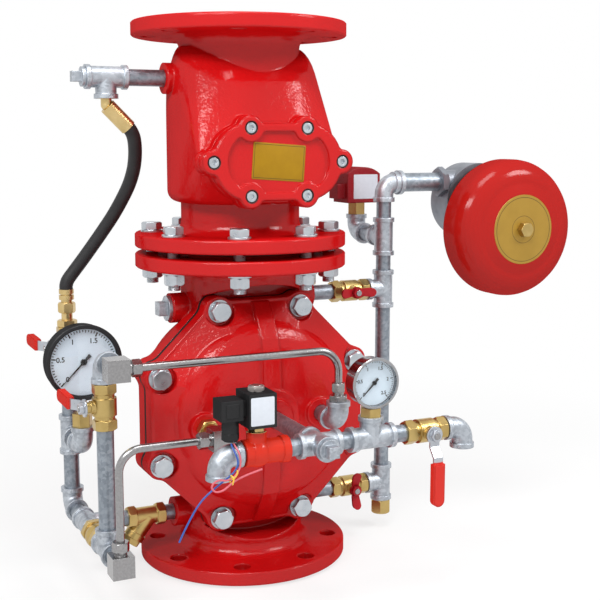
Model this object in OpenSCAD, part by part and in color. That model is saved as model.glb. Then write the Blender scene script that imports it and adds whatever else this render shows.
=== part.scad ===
// Sprinkler alarm valve: a diaphragm deluge valve with a swing check valve bolted on top,
// its control and alarm trim, two gauges, a solenoid, a pressure switch and a water gong.
// Millimetres, +Z up. The origin is the centre of the inlet flange's lower face.
// The bonnet, the check valve's cover and the gong face the front, which is -Y.

/* [Pipe flanges] */
// Outside diameter of the pipe flanges
flange_d = 285; // [275:1:300]
// Thickness of a flange rim
flange_t = 18; // [15:0.5:22]
// Bolt circle of the flanges
flange_pcd = 240; // [236:1:246]
// Diameter of the flange bolt holes
flange_hole_d = 22; // [21:0.5:24]
// Diameter of the raised sealing faces
raised_d = 202; // [190:1:208]
// Height of the raised sealing faces
raised_h = 3; // [2:0.5:4]
// Bore of the waterway
bore_d = 150; // [136:1:154]
// Thickness of the gasket between the two valves
gasket_t = 3; // [2:0.5:5]
// Radius between a flange and its neck
neck_fillet = 16; // [10:1:18]

/* [Lower valve] */
// Height of the lower valve between its sealing faces
valve_h = 427; // [420:1:440]
// Outside diameter of the lower valve's necks
neck_d = 164; // [162:1:174]
// Height of the bonnet's axis above the middle of the lower valve
bonnet_lift = 1.5; // [-3:0.5:6]
// Bolt circle of the bonnet
bonnet_pcd = 302; // [298:1:308]
// Width of the bonnet's eight-sided flange across its flats
bonnet_disc_d = 304; // [298:1:310]
// Diameter of a bolt lobe
lobe_d = 38; // [36:1:46]
// Thickness of the bonnet's flange
bonnet_t = 21; // [18:1:24]
// Thickness of the body's front flange
body_flange_t = 24; // [20:1:28]
// Distance of the diaphragm in front of the valve's axis
diaphragm_f = 42; // [40:1:46]
// Thickness of the diaphragm's clamped rim
diaphragm_t = 6; // [4:0.5:8]
// Base diameter of the bonnet's dome
dome_d = 252; // [244:1:254]
// Height of the dome above the bonnet's flange
dome_h = 37; // [32:1:42]
// Wall of the bonnet's dome
dome_wall = 11; // [9:0.5:13]
// Travel of the diaphragm plate
plate_travel = 24; // [18:1:24]
// Diameter of the body's drum behind the front flange
drum_d = 270; // [260:1:280]
// Distance of the side ports' faces from the axis
port_reach = 103; // [100:1:106]
// Height of the lower side ports
port_low_z = 70; // [66:1:74]
// Distance of the upper side ports below the upper sealing face
port_drop = 67; // [63:1:72]

/* [Check valve] */
// Height of the check valve between its sealing faces
check_h = 300; // [296:1:310]
// Outside diameter of the check valve's necks
check_neck_d = 160; // [158:1:166]
// Outside diameter of the check valve's barrel
barrel_d = 192; // [188:1:198]
// Wall of the barrel
barrel_wall = 8; // [6:0.5:9]
// Height of the cover's centre above the check valve's lower face
cover_rise = 117; // [114:1:120]
// Distance of the cover pad in front of the axis
pad_f = 117; // [114:1:120]
// Half the distance between the outermost cover screws
cover_screw_x = 87; // [84:1:90]
// Half the distance between the upper screws
cover_pair_x = 38; // [35:1:41]
// Height of the upper screws above the cover's centre
cover_pair_z = 42; // [40:1:44]
// Thickness of the cover
cover_t = 15; // [13:0.5:18]
// Diameter of the clapper
clapper_d = 140; // [136:1:142]

/* [Trim pipe] */
// Outside diameter of the trim pipes
pipe_d = 21.3; // [20.5:0.1:22]
// Bore of the trim pipes
pipe_bore = 15.8; // [14:0.1:16.5]
// Diameter of a pipe fitting's body
fitting_d = 27; // [26:0.5:28.5]
// Diameter of a pipe fitting's end bands
band_d = 31; // [29:0.5:33]
// Width of the end bands
band_w = 6; // [4:0.5:8]
// Distance from a fitting's centre to its faces
reach = 27; // [26:0.5:29]
// Depth of a pipe in its socket
insert = 11; // [9:0.5:12]
// Radial gap between a pipe and its socket
seat_gap = 0.1; // [0.05:0.05:0.2]
// Outside diameter of the gong's supply pipe
gong_pipe_d = 26.9; // [25:0.1:27.4]
// Outside diameter of the stainless control tubes
tube_d = 10; // [8:0.5:12]
// Bend radius of the control tubes
tube_bend = 28; // [24:1:32]

/* [Trim layout] */
// Distance of the left trim from the valve's axis, to the left
left_x = 221; // [216:1:226]
// Distance of the rear riser behind the axis
rear_y = 84; // [82:1:92]
// Distance of the front pipe in front of the axis
front_f = 100; // [98:1:106]
// Distance of the control tubes in front of the axis
tube_f = 158; // [154:1:164]
// Height of the upper control tube
upper_tube_z = 309; // [305:1:314]
// Height of the rear riser's tee
rear_tee_z = 173; // [168:1:178]
// Distance of the gauge elbow behind the axis
gauge_y = 14; // [12:0.5:18]
// Distance of the manifold in front of the axis
manifold_f = 243; // [238:1:248]
// Distance of the alarm riser from the axis, to the right
riser_x = 223; // [219:1:228]
// Height of the pressure switch's tee
switch_tee_z = 436; // [432:1:442]
// Height of the gong's supply pipe
gong_pipe_z = 513; // [508:1:518]
// Height of the hose's tee above the check valve's lower face
hose_tee_rise = 223; // [220:1:226]
// Distance of the hose's tee from the axis, to the left
hose_tee_x = 182; // [180:1:186]

/* [Ball valves] */
// Length of a ball valve
valve_len = 58; // [56:0.5:59]
// Width across the flats of a ball valve's ends
valve_hex = 27; // [26:0.5:30]
// Diameter of the ball
ball_d = 22; // [20:0.5:23]
// Diameter of the stem
stem_d = 8; // [7:0.5:9]
// Length of a lever from the stem to its tip
lever_len = 88; // [80:1:89]
// Width of a lever's grip
grip_w = 16; // [14:0.5:19]
// Half the span of a butterfly handle
wing_reach = 27; // [23:1:30]

/* [Gauges] */
// Diameter of the supply gauge
supply_gauge_d = 100; // [96:1:104]
// Height of the supply gauge's centre
supply_gauge_z = 289; // [286:1:293]
// Depth of the supply gauge
supply_gauge_t = 30; // [26:1:34]
// Diameter of the chamber gauge
chamber_gauge_d = 63; // [60:1:66]
// Depth of the chamber gauge
chamber_gauge_t = 27; // [24:1:30]

/* [Gong] */
// Outside diameter of the gong bell
gong_d = 200; // [194:1:206]
// Depth of the gong bell
gong_h = 56; // [52:1:60]
// Wall of the gong bell
gong_wall = 3; // [2:0.5:4]
// Distance of the gong's axis from the valve's axis, to the right
gong_x = 404; // [400:1:408]
// Height of the gong's axis
gong_z = 446; // [442:1:450]

/* [Hose and wires] */
// Outside diameter of the hose
hose_d = 18; // [16:0.5:20]
// Outside diameter of the solenoid's wires
wire_d = 2.2; // [2:0.1:2.6]

/* [Hidden] */
$fn = 64;
eps = 0.01;
// Radial running clearance of shafts, and the gap between faces that move past each other
run_gap = 0.05;
face_gap = 0.3;
// Gap that keeps a fastener and its washer separate pieces
touch = 0.02;

// Heights of the flanged joints
rim_top = raised_h + flange_t;
check_z = valve_h + gasket_t;
joint_top = check_z + rim_top;
joint_low = valve_h - rim_top;
bonnet_z = valve_h / 2 + bonnet_lift;
port_high_z = valve_h - port_drop;
plug_port_z = port_high_z - 8;
side_ports = [
    ["left", port_low_z], ["right", port_low_z], ["left", plug_port_z], ["right", port_high_z]];
bolt_r = flange_pcd / 2;
bolt_angles = [for (i = [0:7]) 22.5 + 45 * i];

// Planes in front of the axis
body_face = diaphragm_f - diaphragm_t / 2;
bonnet_back = diaphragm_f + diaphragm_t / 2;
bonnet_face = bonnet_back + bonnet_t;
dome_top = bonnet_face + dome_h;
dome_roof = dome_top - dome_wall;
dome_crown_r = dome_d / 2 - 50;
port_boss_d = 40;
port_boss_f = dome_top + 6;
centre_boss_d = 76;
centre_boss_f = dome_top + 13;
lobe_reach = bonnet_pcd / 2 + lobe_d / 2;
rib_w = 24;
slope_h = 20;

// Seat and ring chamber inside the lower valve
bonnet_bolt_d = 16;
flange_bolt_d = 16;
bolt_head = 24;
bolt_head_h = 10.5;
nut_h = 14;
bolt_proud = 7;
washer_d = 30;
washer_t = 3;
spot_d = washer_d + 9;
seat_tube_d = 156;
seat_d = 124;
seat_ring_d = 150;
seat_ring_t = 8;
plate_back_t = 5;
plate_front_t = 7;
plate_hub_d = 50;
plate_d = seat_ring_d - 6;
plate_nut = 24;
plate_nut_h = 8;
seat_f = body_face - face_gap - plate_back_t - face_gap;
plate_front = bonnet_back + face_gap + plate_front_t;
stop_f = plate_front + plate_nut_h + plate_travel + face_gap;
seat_tube_f = seat_f - seat_ring_t;
ring_d = 226;
ring_back = 8;
passage_d = 76;
passage_y = ring_back + 6 + passage_d / 2;
passage_wall = 10;
passage_top = joint_low - passage_d / 2 - passage_wall + 2;
throat_d = bore_d - 2;
front_wall_f = 22;
drum_back = passage_y + 20;

// Check valve
joint_hole_d = flange_bolt_d + 2;
top_z = check_z + check_h;
barrel_low = 78;
shoulder = 16;
nose_r = barrel_d / 2 + 2;
nose_z = cover_rise + 56;
nose_top = check_h - rim_top - neck_fillet;
chamber_top = nose_z + 10;
cover_plate_r = cover_pair_z + 6;
chamber_d = barrel_d - 2 * barrel_wall;
seat_rise = 84;
seal_t = 5;
disc_t = 8;
seat_depth = 10;
seat_proud = 0.7;
seat_land = 10;
seal_low = seat_rise + seat_proud + face_gap;
disc_low = seal_low + seal_t;
hinge_d = 10;
knuckle_d = 18;
knuckle_w = 44;
knuckle_gap = 3;
lug_d = 22;
lug_w = 10;
lug_gap = 1;
hinge_rise = disc_low + disc_t + lug_d / 2 + lug_gap;
hinge_y = chamber_d / 2 - knuckle_d / 2 - knuckle_gap;
pin_half = knuckle_w / 2 + lug_gap + lug_w - 1;
cover_z = check_z + cover_rise;
cover_gasket_t = 1.5;
cover_back = pad_f + cover_gasket_t;
cover_face = cover_back + cover_t;
cover_screws_at = concat(
    [for (s = [-1, 1]) [s * cover_screw_x, 0]],
    [for (s = [-1, 1], t = [-1, 1]) [s * cover_pair_x, t * cover_pair_z]]);
cover_screw_d = 8;
cover_head_d = 13;
cover_head_h = 8;
check_port_reach = barrel_d / 2 + 10;
hose_tee_z = check_z + hose_tee_rise;

// Trim
socket_d = pipe_d + 2 * seat_gap;
socket_depth = insert + 0.5;
elbow_bend = fitting_d / 2 + 3.5;
cross_x = 0;
bonnet_left_x = -92;
bonnet_left_z = bonnet_z - 4;
bonnet_right_x = 70;
block = 27;
nut_hex = 19;
nut_len = 16;
end_gap = 0.5;
valve_half = valve_len / 2;
alarm_valve_x = riser_x - reach - end_gap - valve_half;
drain_valve_x = 147;
drain_elbow_x = drain_valve_x + valve_half + end_gap + reach;
gauge_tee_x = 71;
gauge_tee_reach = 30;
solenoid_x = -69;
solenoid_half = 28;
solenoid_elbow_x = solenoid_x - solenoid_half - reach - 3;
coil_x = solenoid_x - 11;
front_valve_z = upper_tube_z - reach - end_gap - valve_half;
rear_valve_z = 294;
strainer_x = -142;
strainer_half = 26;
check_fitting_f = (front_f) / 2;
check_fitting_half = (front_f - 2 * reach) / 2 - end_gap;
switch_z = switch_tee_z + reach + 18;
supply_gauge_f = 8;
chamber_gauge_f = 13;
chamber_bush_h = 11;
chamber_gauge_z = bonnet_z + reach + chamber_bush_h + chamber_gauge_d / 2;
gauge_recess = 7;
bezel_share = 0.055;
pin_d = 3;

// Ball valve stem and handles, in front of the ball
stem_boss_f = 23;
valve_hex_w = 13;
handle_f = stem_boss_f + 0.6;
handle_t = 2.5;
stem_tip_f = handle_f + handle_t + 7;
stem_nut = 13;
wing_w = 13;

// Gong motor
rim_y = -32;
motor_front = 20;
motor_back = 26;
motor_d = 120;
lobe_x = gong_x - 30;
lobe_z = gong_z + 38;
lobe_r = 56;
spindle_d = 14;
sleeve_d = 22;
impeller_d = 96;
striker_reach = gong_d / 2 - gong_wall - 3;
striker_f = -rim_y + 14;
gong_nut_x = gong_x - 90;

// Hose and wires: hand-placed points along their centre lines, from the piece that holds each end
hose_start = [24 - hose_tee_x, 0, hose_tee_z - reach - 32];
hose_end = [-left_x, rear_y, rear_valve_z + valve_half + 51];
hose_route = [
    hose_start, hose_start + [6, 0, -6], hose_start + [12, 4, -16],
    [-142, 12, 564], [-140, 21, 548], [-140, 31, 532], [-143, 42, 514], [-150, 53, 494],
    [-160, 62, 473], [-172, 69, 453], [-185, 75, 433], [-198, 80, 414],
    hose_end + [12, -1, 25], hose_end + [3, 0, 13], hose_end + [0, 0, 5], hose_end];
coil_w = 34;
coil_depth = 42;
gland = [coil_x - coil_w / 2 - 15.5, -manifold_f, bonnet_z + 17];
red_turns = [
    [1.5, -7, -1.4], [1.7, -9.5, -3], [2.5, -13.5, -6], [3.8, -17, -10.5], [4.6, -19.5, -16],
    [4, -21, -21.5], [2, -22.5, -27], [-2.5, -24, -32.5], [-8.5, -25, -37], [-16, -26, -37.5],
    [-24, -26.5, -36], [-31, -27, -38.5], [-33.5, -27.5, -43.5], [-28.5, -28, -48.5],
    [-20, -28.5, -47.5], [-12.5, -28.8, -42.5], [-5, -29, -38], [3.5, -28.5, -35],
    [12, -28, -32.8], [20.5, -27.5, -31], [28, -27, -29.5]];
blue_turns = [
    [-1.7, -7, -1.4], [-2, -9.5, -3], [-1.8, -13.5, -6], [-0.5, -17, -10.5], [0.8, -19.5, -16],
    [0.8, -21, -21.5], [-1.5, -21.5, -27], [-6, -21.5, -32], [-11.5, -21.5, -36], [-18, -21.5, -40],
    [-26, -22, -45], [-34, -22, -50.5], [-42, -22, -57], [-49, -22, -65], [-55, -22, -74],
    [-61, -22, -84], [-66.5, -22, -94], [-71, -22, -103]];

// Points of a circular arc round c
function arc(c, r, from, to, n = 6) =
    [for (i = [0:n]) let (a = from + (to - from) * i / n) c + r * [cos(a), sin(a)]];

// Points of a quarter ellipse from its side to its top
function crown(c, rx, ry, n = 8) =
    [for (i = [0:n]) let (a = 90 * i / n) c + [rx * cos(a), ry * sin(a)]];

// Unit vector, and the direction of a route at one of its points
function unit(v) = v / norm(v);
function heading(p, i) = unit(p[min(i + 1, len(p) - 1)] - p[max(i - 1, 0)]);

// Side vectors carried along a route with the least twist
function carried(p, i) = i == 0
    ? unit(cross(heading(p, 0), [0.31, 0.9, 0.2]))
    : let (s = carried(p, i - 1), t = heading(p, i)) unit(s - t * (s * t));

// Round cord or coil swept along a route as one closed solid
module sweep(p, d, sides) {
    rings = [for (i = [0:len(p) - 1])
        let (t = heading(p, i), s = carried(p, i), u = cross(t, s))
        [for (k = [0:sides - 1])
            p[i] + d / 2 * (s * cos(360 * k / sides) + u * sin(360 * k / sides))]];
    points = [for (ring = rings) for (q = ring) q];
    last = (len(p) - 1) * sides;
    walls = [for (i = [0:len(p) - 2], k = [0:sides - 1])
        let (a = i * sides + k, b = i * sides + (k + 1) % sides)
        [a, a + sides, b + sides, b]];
    caps = [[for (k = [0:sides - 1]) k], [for (k = [sides - 1:-1:0]) last + k]];
    polyhedron(points, concat(walls, caps));
}

// Turns a shape drawn along +Z to another direction
module front() rotate([90, 0, 0]) children();
module back() rotate([-90, 0, 0]) children();
module right() rotate([0, 90, 0]) children();
module left() rotate([0, -90, 0]) children();
module down() rotate([180, 0, 0]) children();
module point(way) {
    if (way == "front") front() children();
    if (way == "back") back() children();
    if (way == "right") right() children();
    if (way == "left") left() children();
    if (way == "up") children();
    if (way == "down") down() children();
}

// Places a shape drawn towards the viewer on the bonnet, the cover or the gong
module at_bonnet() translate([0, 0, bonnet_z]) front() children();
module at_cover() translate([0, 0, cover_z]) front() children();
module at_gong() translate([gong_x, 0, gong_z]) front() children();

// Extrudes an outline of (depth, height) points sideways, centred on X
module slab(w) translate([-w / 2, 0, 0]) rotate([90, 0, 90]) linear_extrude(w) children();

module hexagon(across, h) cylinder(d = across / cos(30), h = h, $fn = 6);

module pipe(d, bore, h) difference() {
    cylinder(d = d, h = h);
    translate([0, 0, -1]) cylinder(d = bore, h = h + 2);
}

// Sharp-cornered hexagon with turned faces, as on bolts and nuts
module turned_hex(across, h) intersection() {
    hexagon(across, h);
    rotate_extrude() polygon([[0, 0], [across / 2, 0], [across / 2 * 1.16, h * 0.14],
        [across / 2 * 1.16, h * 0.86], [across / 2, h], [0, h]]);
}

module bolt(d, head, head_h, shank) {
    turned_hex(head, head_h);
    translate([0, 0, -shank]) cylinder(d = d, h = shank + eps);
}

module washer(d, hole, t) difference() {
    cylinder(d = d, h = t);
    translate([0, 0, -1]) cylinder(d = hole, h = t + 2);
}

module flange_bolt_circle() for (a = bolt_angles) rotate(a) translate([bolt_r, 0, 0]) children();

module bonnet_bolt_circle() for (a = bolt_angles) rotate(a) translate([bonnet_pcd / 2, 0, 0]) children();

// Pipe flange with raised face and filleted neck, from its sealing face upwards
module flange_end(neck) {
    edge = 1.5;
    rotate_extrude($fn = 96) polygon(concat(
        [[0, 0], [raised_d / 2, 0], [raised_d / 2, raised_h],
         [flange_d / 2 - edge, raised_h], [flange_d / 2, raised_h + edge],
         [flange_d / 2, rim_top - edge], [flange_d / 2 - edge, rim_top]],
        arc([neck / 2 + neck_fillet, rim_top + neck_fillet], neck_fillet, 270, 180),
        [[0, rim_top + neck_fillet]]));
}

module flange_holes(d) flange_bolt_circle()
    translate([0, 0, raised_h - 1]) cylinder(d = d, h = flange_t + 2);

// Scalloped outline shared by the bonnet, the diaphragm and the body's front flange
module bonnet_outline() offset(r = -20) offset(r = 20) {
    rotate(bolt_angles[0]) circle(d = bonnet_disc_d / cos(22.5), $fn = 8);
    bonnet_bolt_circle() circle(d = lobe_d, $fn = 32);
}

// Side port of a casting, along +Z from the axis: its boss, and its socket and drilling
module port_boss(face) cylinder(d = port_boss_d, h = face);
module port_hole(face, depth) {
    translate([0, 0, face - socket_depth - 1]) cylinder(d = socket_d, h = socket_depth + 2);
    translate([0, 0, face - depth]) cylinder(d = pipe_bore, h = depth);
}

module body_shell() {
    drum_round = 40;
    flange_end(neck_d);
    translate([0, 0, valve_h]) mirror([0, 0, 1]) flange_end(neck_d);
    translate([0, 0, 1]) cylinder(d = neck_d, h = valve_h - 2);
    at_bonnet() rotate_extrude($fn = 96) polygon(concat(
        [[0, -drum_back], [drum_d / 2 - drum_round, -drum_back]],
        arc([drum_d / 2 - drum_round, drum_round - drum_back], drum_round, 270, 360),
        [[drum_d / 2, body_face - 4], [0, body_face - 4]]));
    at_bonnet() translate([0, 0, body_face - body_flange_t]) linear_extrude(body_flange_t) bonnet_outline();
    hump_d = passage_d + 2 * passage_wall;
    translate([0, passage_y, bonnet_z - seat_d / 2])
        cylinder(d = hump_d, h = passage_top - bonnet_z + seat_d / 2);
    translate([0, passage_y, passage_top]) sphere(d = hump_d);
    for (p = side_ports) translate([0, 0, p[1]]) point(p[0]) port_boss(port_reach);
}

module body_waterway() {
    mouth = rim_top + 3;
    inlet_top = bonnet_z - seat_tube_d / 2 - 8;
    outlet_low = bonnet_z + ring_d / 2 + 14;
    translate([0, 0, -1]) cylinder(d = bore_d, h = mouth + 1);
    translate([0, 0, valve_h - mouth]) cylinder(d = bore_d, h = mouth + 1);
    intersection() {
        union() {
            translate([0, 0, 1]) cylinder(d = throat_d, h = inlet_top - 1);
            translate([0, 0, outlet_low]) cylinder(d = throat_d, h = valve_h - outlet_low - 1);
        }
        translate([-bore_d, -front_wall_f, 0]) cube([2 * bore_d, 2 * bore_d, valve_h]);
    }
    at_bonnet() difference() {
        translate([0, 0, -ring_back]) cylinder(d = ring_d, h = body_face + ring_back + 1);
        translate([0, 0, -ring_back - 1]) cylinder(d = seat_tube_d, h = ring_back + 1 + seat_tube_f);
    }
    at_bonnet() translate([0, 0, -passage_y]) cylinder(d = seat_d, h = passage_y + body_face);
    translate([0, passage_y, bonnet_z - seat_d / 2 + 6])
        cylinder(d = passage_d, h = passage_top - bonnet_z + seat_d / 2);
}

module valve_body() color("firebrick") difference() {
    body_shell();
    at_bonnet() translate([0, 0, body_face]) cylinder(r = lobe_reach + 2, h = neck_d);
    body_waterway();
    at_bonnet() bonnet_bolt_circle() translate([0, 0, body_face - body_flange_t - 40])
        cylinder(d = bonnet_bolt_d + 0.2, h = body_flange_t + 41);
    flange_holes(flange_hole_d);
    translate([0, 0, valve_h]) mirror([0, 0, 1]) flange_holes(joint_hole_d);
    for (p = side_ports)
        translate([0, 0, p[1]]) point(p[0]) port_hole(port_reach, port_reach - bore_d / 2 + 12);
}

module seat_ring() color("goldenrod") at_bonnet() translate([0, 0, seat_tube_f]) difference() {
    cylinder(d = seat_ring_d, h = seat_ring_t);
    translate([0, 0, -1]) cylinder(d = seat_d - 2, h = seat_ring_t + 2);
}

module diaphragm() color("black") at_bonnet() translate([0, 0, body_face]) difference() {
    linear_extrude(diaphragm_t) bonnet_outline();
    translate([0, 0, -1]) cylinder(d = plate_hub_d + 2 * face_gap, h = diaphragm_t + 2);
    bonnet_bolt_circle() translate([0, 0, -1]) cylinder(d = bonnet_bolt_d + 2, h = diaphragm_t + 2);
}

// Pressure plate clamped through the middle of the diaphragm
module diaphragm_plate() color("silver") at_bonnet() {
    translate([0, 0, seat_f + face_gap]) cylinder(d = plate_d, h = plate_back_t);
    translate([0, 0, seat_f + face_gap]) cylinder(d = plate_hub_d, h = plate_front - seat_f - face_gap);
    translate([0, 0, bonnet_back + face_gap]) cylinder(d = plate_d - 14, h = plate_front_t);
    translate([0, 0, plate_front - eps]) turned_hex(plate_nut, plate_nut_h);
}

module return_spring() color("gray") at_bonnet() {
    wire = 5;
    coil_r = 42;
    turns = 3;
    steps = 20;
    low = plate_front + wire / 2 + face_gap;
    high = dome_roof - wire / 2 - face_gap;
    sweep([for (i = [0:turns * steps]) let (a = 360 * i / steps)
        [coil_r * cos(a), coil_r * sin(a), low + (high - low) * i / (turns * steps)]], wire, 8);
}

// Stiffening rib of the bonnet, from the centre boss out to the flange's edge
module bonnet_rib() slab(rib_w) polygon([
    [centre_boss_d / 2 - 8, bonnet_back + 8],
    [bonnet_disc_d / 2 - 3, bonnet_back + 8],
    [bonnet_disc_d / 2 - 3, bonnet_face + 4],
    [dome_d / 2 + 2, bonnet_face + slope_h],
    [dome_d / 2 - 22, dome_top - 2],
    [dome_crown_r, dome_top + 4],
    [centre_boss_d / 2 - 8, dome_top + 6]]);

// Sloping facets between the bonnet's bolts, from its edge up to the dome
module bonnet_facets() translate([0, 0, bonnet_face - 1]) rotate(bolt_angles[0]) {
    corner = 1 / cos(22.5);
    cylinder(d1 = (bonnet_disc_d - 4) * corner, d2 = (dome_d - 26) * corner, h = slope_h + 1, $fn = 8);
}

module bonnet_outside() {
    foot = 8;
    translate([0, 0, bonnet_back]) linear_extrude(bonnet_t) bonnet_outline();
    rotate_extrude($fn = 96) polygon(concat(
        [[0, bonnet_back + 2], [dome_d / 2 + foot, bonnet_back + 2]],
        arc([dome_d / 2 + foot, bonnet_face + foot], foot, 270, 180, 4),
        crown([dome_crown_r, bonnet_face + foot], dome_d / 2 - dome_crown_r, dome_h - foot),
        [[0, dome_top + 2]]));
    translate([0, 0, dome_top - 8]) cylinder(d1 = centre_boss_d + 6, d2 = centre_boss_d, h = 15);
    translate([0, 0, dome_top - 8])
        cylinder(d1 = centre_boss_d - 12, d2 = centre_boss_d - 24, h = centre_boss_f - dome_top + 8);
    for (p = [[bonnet_left_x, bonnet_left_z], [bonnet_right_x, bonnet_z]])
        translate([p.x, p.y - bonnet_z, bonnet_face])
            cylinder(d = port_boss_d, h = port_boss_f - bonnet_face);
    bonnet_facets();
    bonnet_rib();
    mirror([0, 1, 0]) bonnet_rib();
}

// Ring inside the dome that stops the diaphragm plate at the end of its travel
module lift_stop() translate([0, 0, stop_f]) pipe(plate_nut + 10, pipe_bore + 2, dome_roof - stop_f + 2);

module bonnet() color("firebrick") at_bonnet() {
    lift_stop();
    bonnet_casting();
}

module bonnet_casting() difference() {
    bonnet_outside();
    translate([0, 0, bonnet_back]) rotate_extrude($fn = 96) polygon(concat(
        [[0, -1], [dome_d / 2 - 18, -1], [dome_d / 2 - 18, bonnet_t - 4]],
        crown([dome_crown_r - 8, bonnet_t - 4], dome_d / 2 - dome_crown_r - 10, dome_roof - bonnet_face + 4),
        [[0, dome_roof - bonnet_back]]));
    bonnet_bolt_circle() {
        translate([0, 0, bonnet_back - 1]) cylinder(d = bonnet_bolt_d + 2, h = bonnet_t + 20);
        translate([0, 0, bonnet_face]) cylinder(d = spot_d, h = dome_h);
    }
    port_hole(centre_boss_f, centre_boss_f - dome_roof + 5);
    for (p = [[bonnet_left_x, bonnet_left_z], [bonnet_right_x, bonnet_z]])
        translate([p.x, p.y - bonnet_z, 0]) port_hole(port_boss_f, port_boss_f - dome_roof + 12);
}

module bonnet_bolts() color("lightsteelblue") at_bonnet() bonnet_bolt_circle() {
    translate([0, 0, bonnet_face + washer_t + touch])
        bolt(bonnet_bolt_d, bolt_head, bolt_head_h, bonnet_t + diaphragm_t + body_flange_t + washer_t - 2);
    translate([0, 0, bonnet_face]) washer(washer_d, bonnet_bolt_d + 1, washer_t);
}

module flange_gasket() color("dimgray") translate([0, 0, valve_h]) difference() {
    cylinder(d = raised_d - 2, h = gasket_t);
    translate([0, 0, -1]) cylinder(d = bore_d + 4, h = gasket_t + 2);
}

module flange_bolts() color("lightsteelblue") flange_bolt_circle() translate([0, 0, joint_top]) {
    shank = joint_top - joint_low + nut_h + 2 * washer_t + bolt_proud;
    translate([0, 0, washer_t + touch]) bolt(flange_bolt_d, bolt_head, bolt_head_h, shank);
    washer(washer_d, flange_bolt_d + 1, washer_t);
}

module flange_nuts() color("lightsteelblue") flange_bolt_circle() {
    translate([0, 0, joint_low - washer_t]) washer(washer_d, flange_bolt_d + 1, washer_t);
    translate([0, 0, joint_low - washer_t - nut_h - touch]) difference() {
        turned_hex(bolt_head, nut_h);
        translate([0, 0, -1]) cylinder(d = flange_bolt_d + 0.2, h = nut_h + 2);
    }
}

// Outline of the check valve's cover: a long plate with a lobe at each screw
module cover_outline(grow = 0) offset(r = grow - 7, $fn = 32) offset(r = 7, $fn = 32) {
    end_x = cover_screw_x - cover_plate_r;
    for (s = [-1, 1]) translate([s * end_x, 0]) circle(r = cover_plate_r, $fn = 48);
    square([2 * end_x, 2 * cover_plate_r], center = true);
    for (p = cover_screws_at) translate(p) circle(d = 31, $fn = 32);
}

// Opening behind the cover, and the sunk panel of the cover's face
module cover_window(inset) offset(r = 5, $fn = 24) offset(r = -5, $fn = 24) difference() {
    panel_r = cover_plate_r - inset;
    end_x = cover_screw_x - cover_plate_r - 8;
    union() {
        for (s = [-1, 1]) translate([s * end_x, 0]) circle(r = panel_r, $fn = 48);
        square([2 * end_x, 2 * panel_r], center = true);
    }
    for (p = cover_screws_at) translate(p) circle(d = 34, $fn = 32);
}

// Level slice of the check valve's body: half width, reach to the front and to the back
function nose_slice(w, f, b) = concat(
    [for (i = [0:12]) let (a = 15 * i) [w * cos(a), b * sin(a)]],
    [for (i = [1:23]) let (a = 7.5 * i)
        [-sign(cos(a)) * w * pow(abs(cos(a)), 0.67), -f * pow(sin(a), 0.67)]]);

// Width and reach of the slice at a height: rounded in below, and falling away to the front above
function nose_w(z) = z < barrel_low
    ? nose_r - shoulder * (1 - sqrt(1 - pow((barrel_low - z) / shoulder, 2)))
    : let (up = max(z - nose_z - 42, 0) / (nose_top - nose_z - 40), neck = check_neck_d / 2)
        neck + (nose_r - neck) * sqrt(1 - up * up);
function nose_f(z, fall) = z < nose_z
    ? nose_w(z)
    : sqrt(max(nose_r * nose_r - fall * pow(z - nose_z, 2), 36));

nose_levels = concat(
    [for (a = [75:-15:0]) barrel_low - shoulder * sin(a)],
    [for (i = [0:9]) nose_z + (nose_top - nose_z) * sin(10 * i)]);

module check_shell() {
    translate([0, 0, check_z]) {
        flange_end(check_neck_d);
        translate([0, 0, check_h]) mirror([0, 0, 1]) flange_end(check_neck_d);
        translate([0, 0, 1]) cylinder(d = check_neck_d, h = check_h - 2);
    }
    hull() {
        for (z = nose_levels) translate([0, 0, check_z + z]) linear_extrude(0.4)
            polygon(nose_slice(nose_w(z), nose_f(z, 1), nose_f(z, 1.6)));
        at_cover() translate([0, 0, pad_f - 12]) linear_extrude(1) cover_outline(-6);
    }
    at_cover() translate([0, 0, pad_f - 14]) linear_extrude(14) cover_outline();
    translate([0, 0, hose_tee_z]) left() port_boss(check_port_reach);
}

module hinge_lugs() for (s = [-1, 1])
    translate([s * (knuckle_w / 2 + lug_gap + lug_w / 2), 0, check_z + hinge_rise]) {
    slab(lug_w) translate([hinge_y, 0]) circle(d = lug_d);
    slab(lug_w) translate([hinge_y, -lug_d / 2]) square([chamber_d / 2 - hinge_y + 4, lug_d]);
}

module check_body() color("firebrick") {
    difference() {
        check_shell();
        translate([0, 0, check_z - 1]) cylinder(d = bore_d, h = check_h + 2);
        translate([0, 0, check_z + seat_rise]) cylinder(d = chamber_d, h = chamber_top - seat_rise);
        at_cover() translate([0, 0, chamber_d / 3]) linear_extrude(pad_f) cover_window(12);
        at_cover() for (p = cover_screws_at)
            translate([p.x, p.y, pad_f - 12]) cylinder(d = cover_screw_d + 0.2, h = 14);
        translate([-pin_half - 1, hinge_y, check_z + hinge_rise]) right()
            cylinder(d = hinge_d + 2 * run_gap, h = 2 * pin_half + 2);
        translate([0, 0, check_z]) flange_holes(joint_hole_d);
        translate([0, 0, top_z]) mirror([0, 0, 1]) flange_holes(flange_hole_d);
        translate([0, 0, hose_tee_z]) left() port_hole(check_port_reach, check_port_reach - bore_d / 2 + 8);
    }
    difference() {
        intersection() {
            hinge_lugs();
            translate([0, 0, check_z]) cylinder(d = barrel_d - 4, h = check_h);
        }
        translate([-barrel_d / 2, hinge_y, check_z + hinge_rise]) right()
            cylinder(d = hinge_d + 2 * run_gap, h = barrel_d);
    }
}

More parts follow.
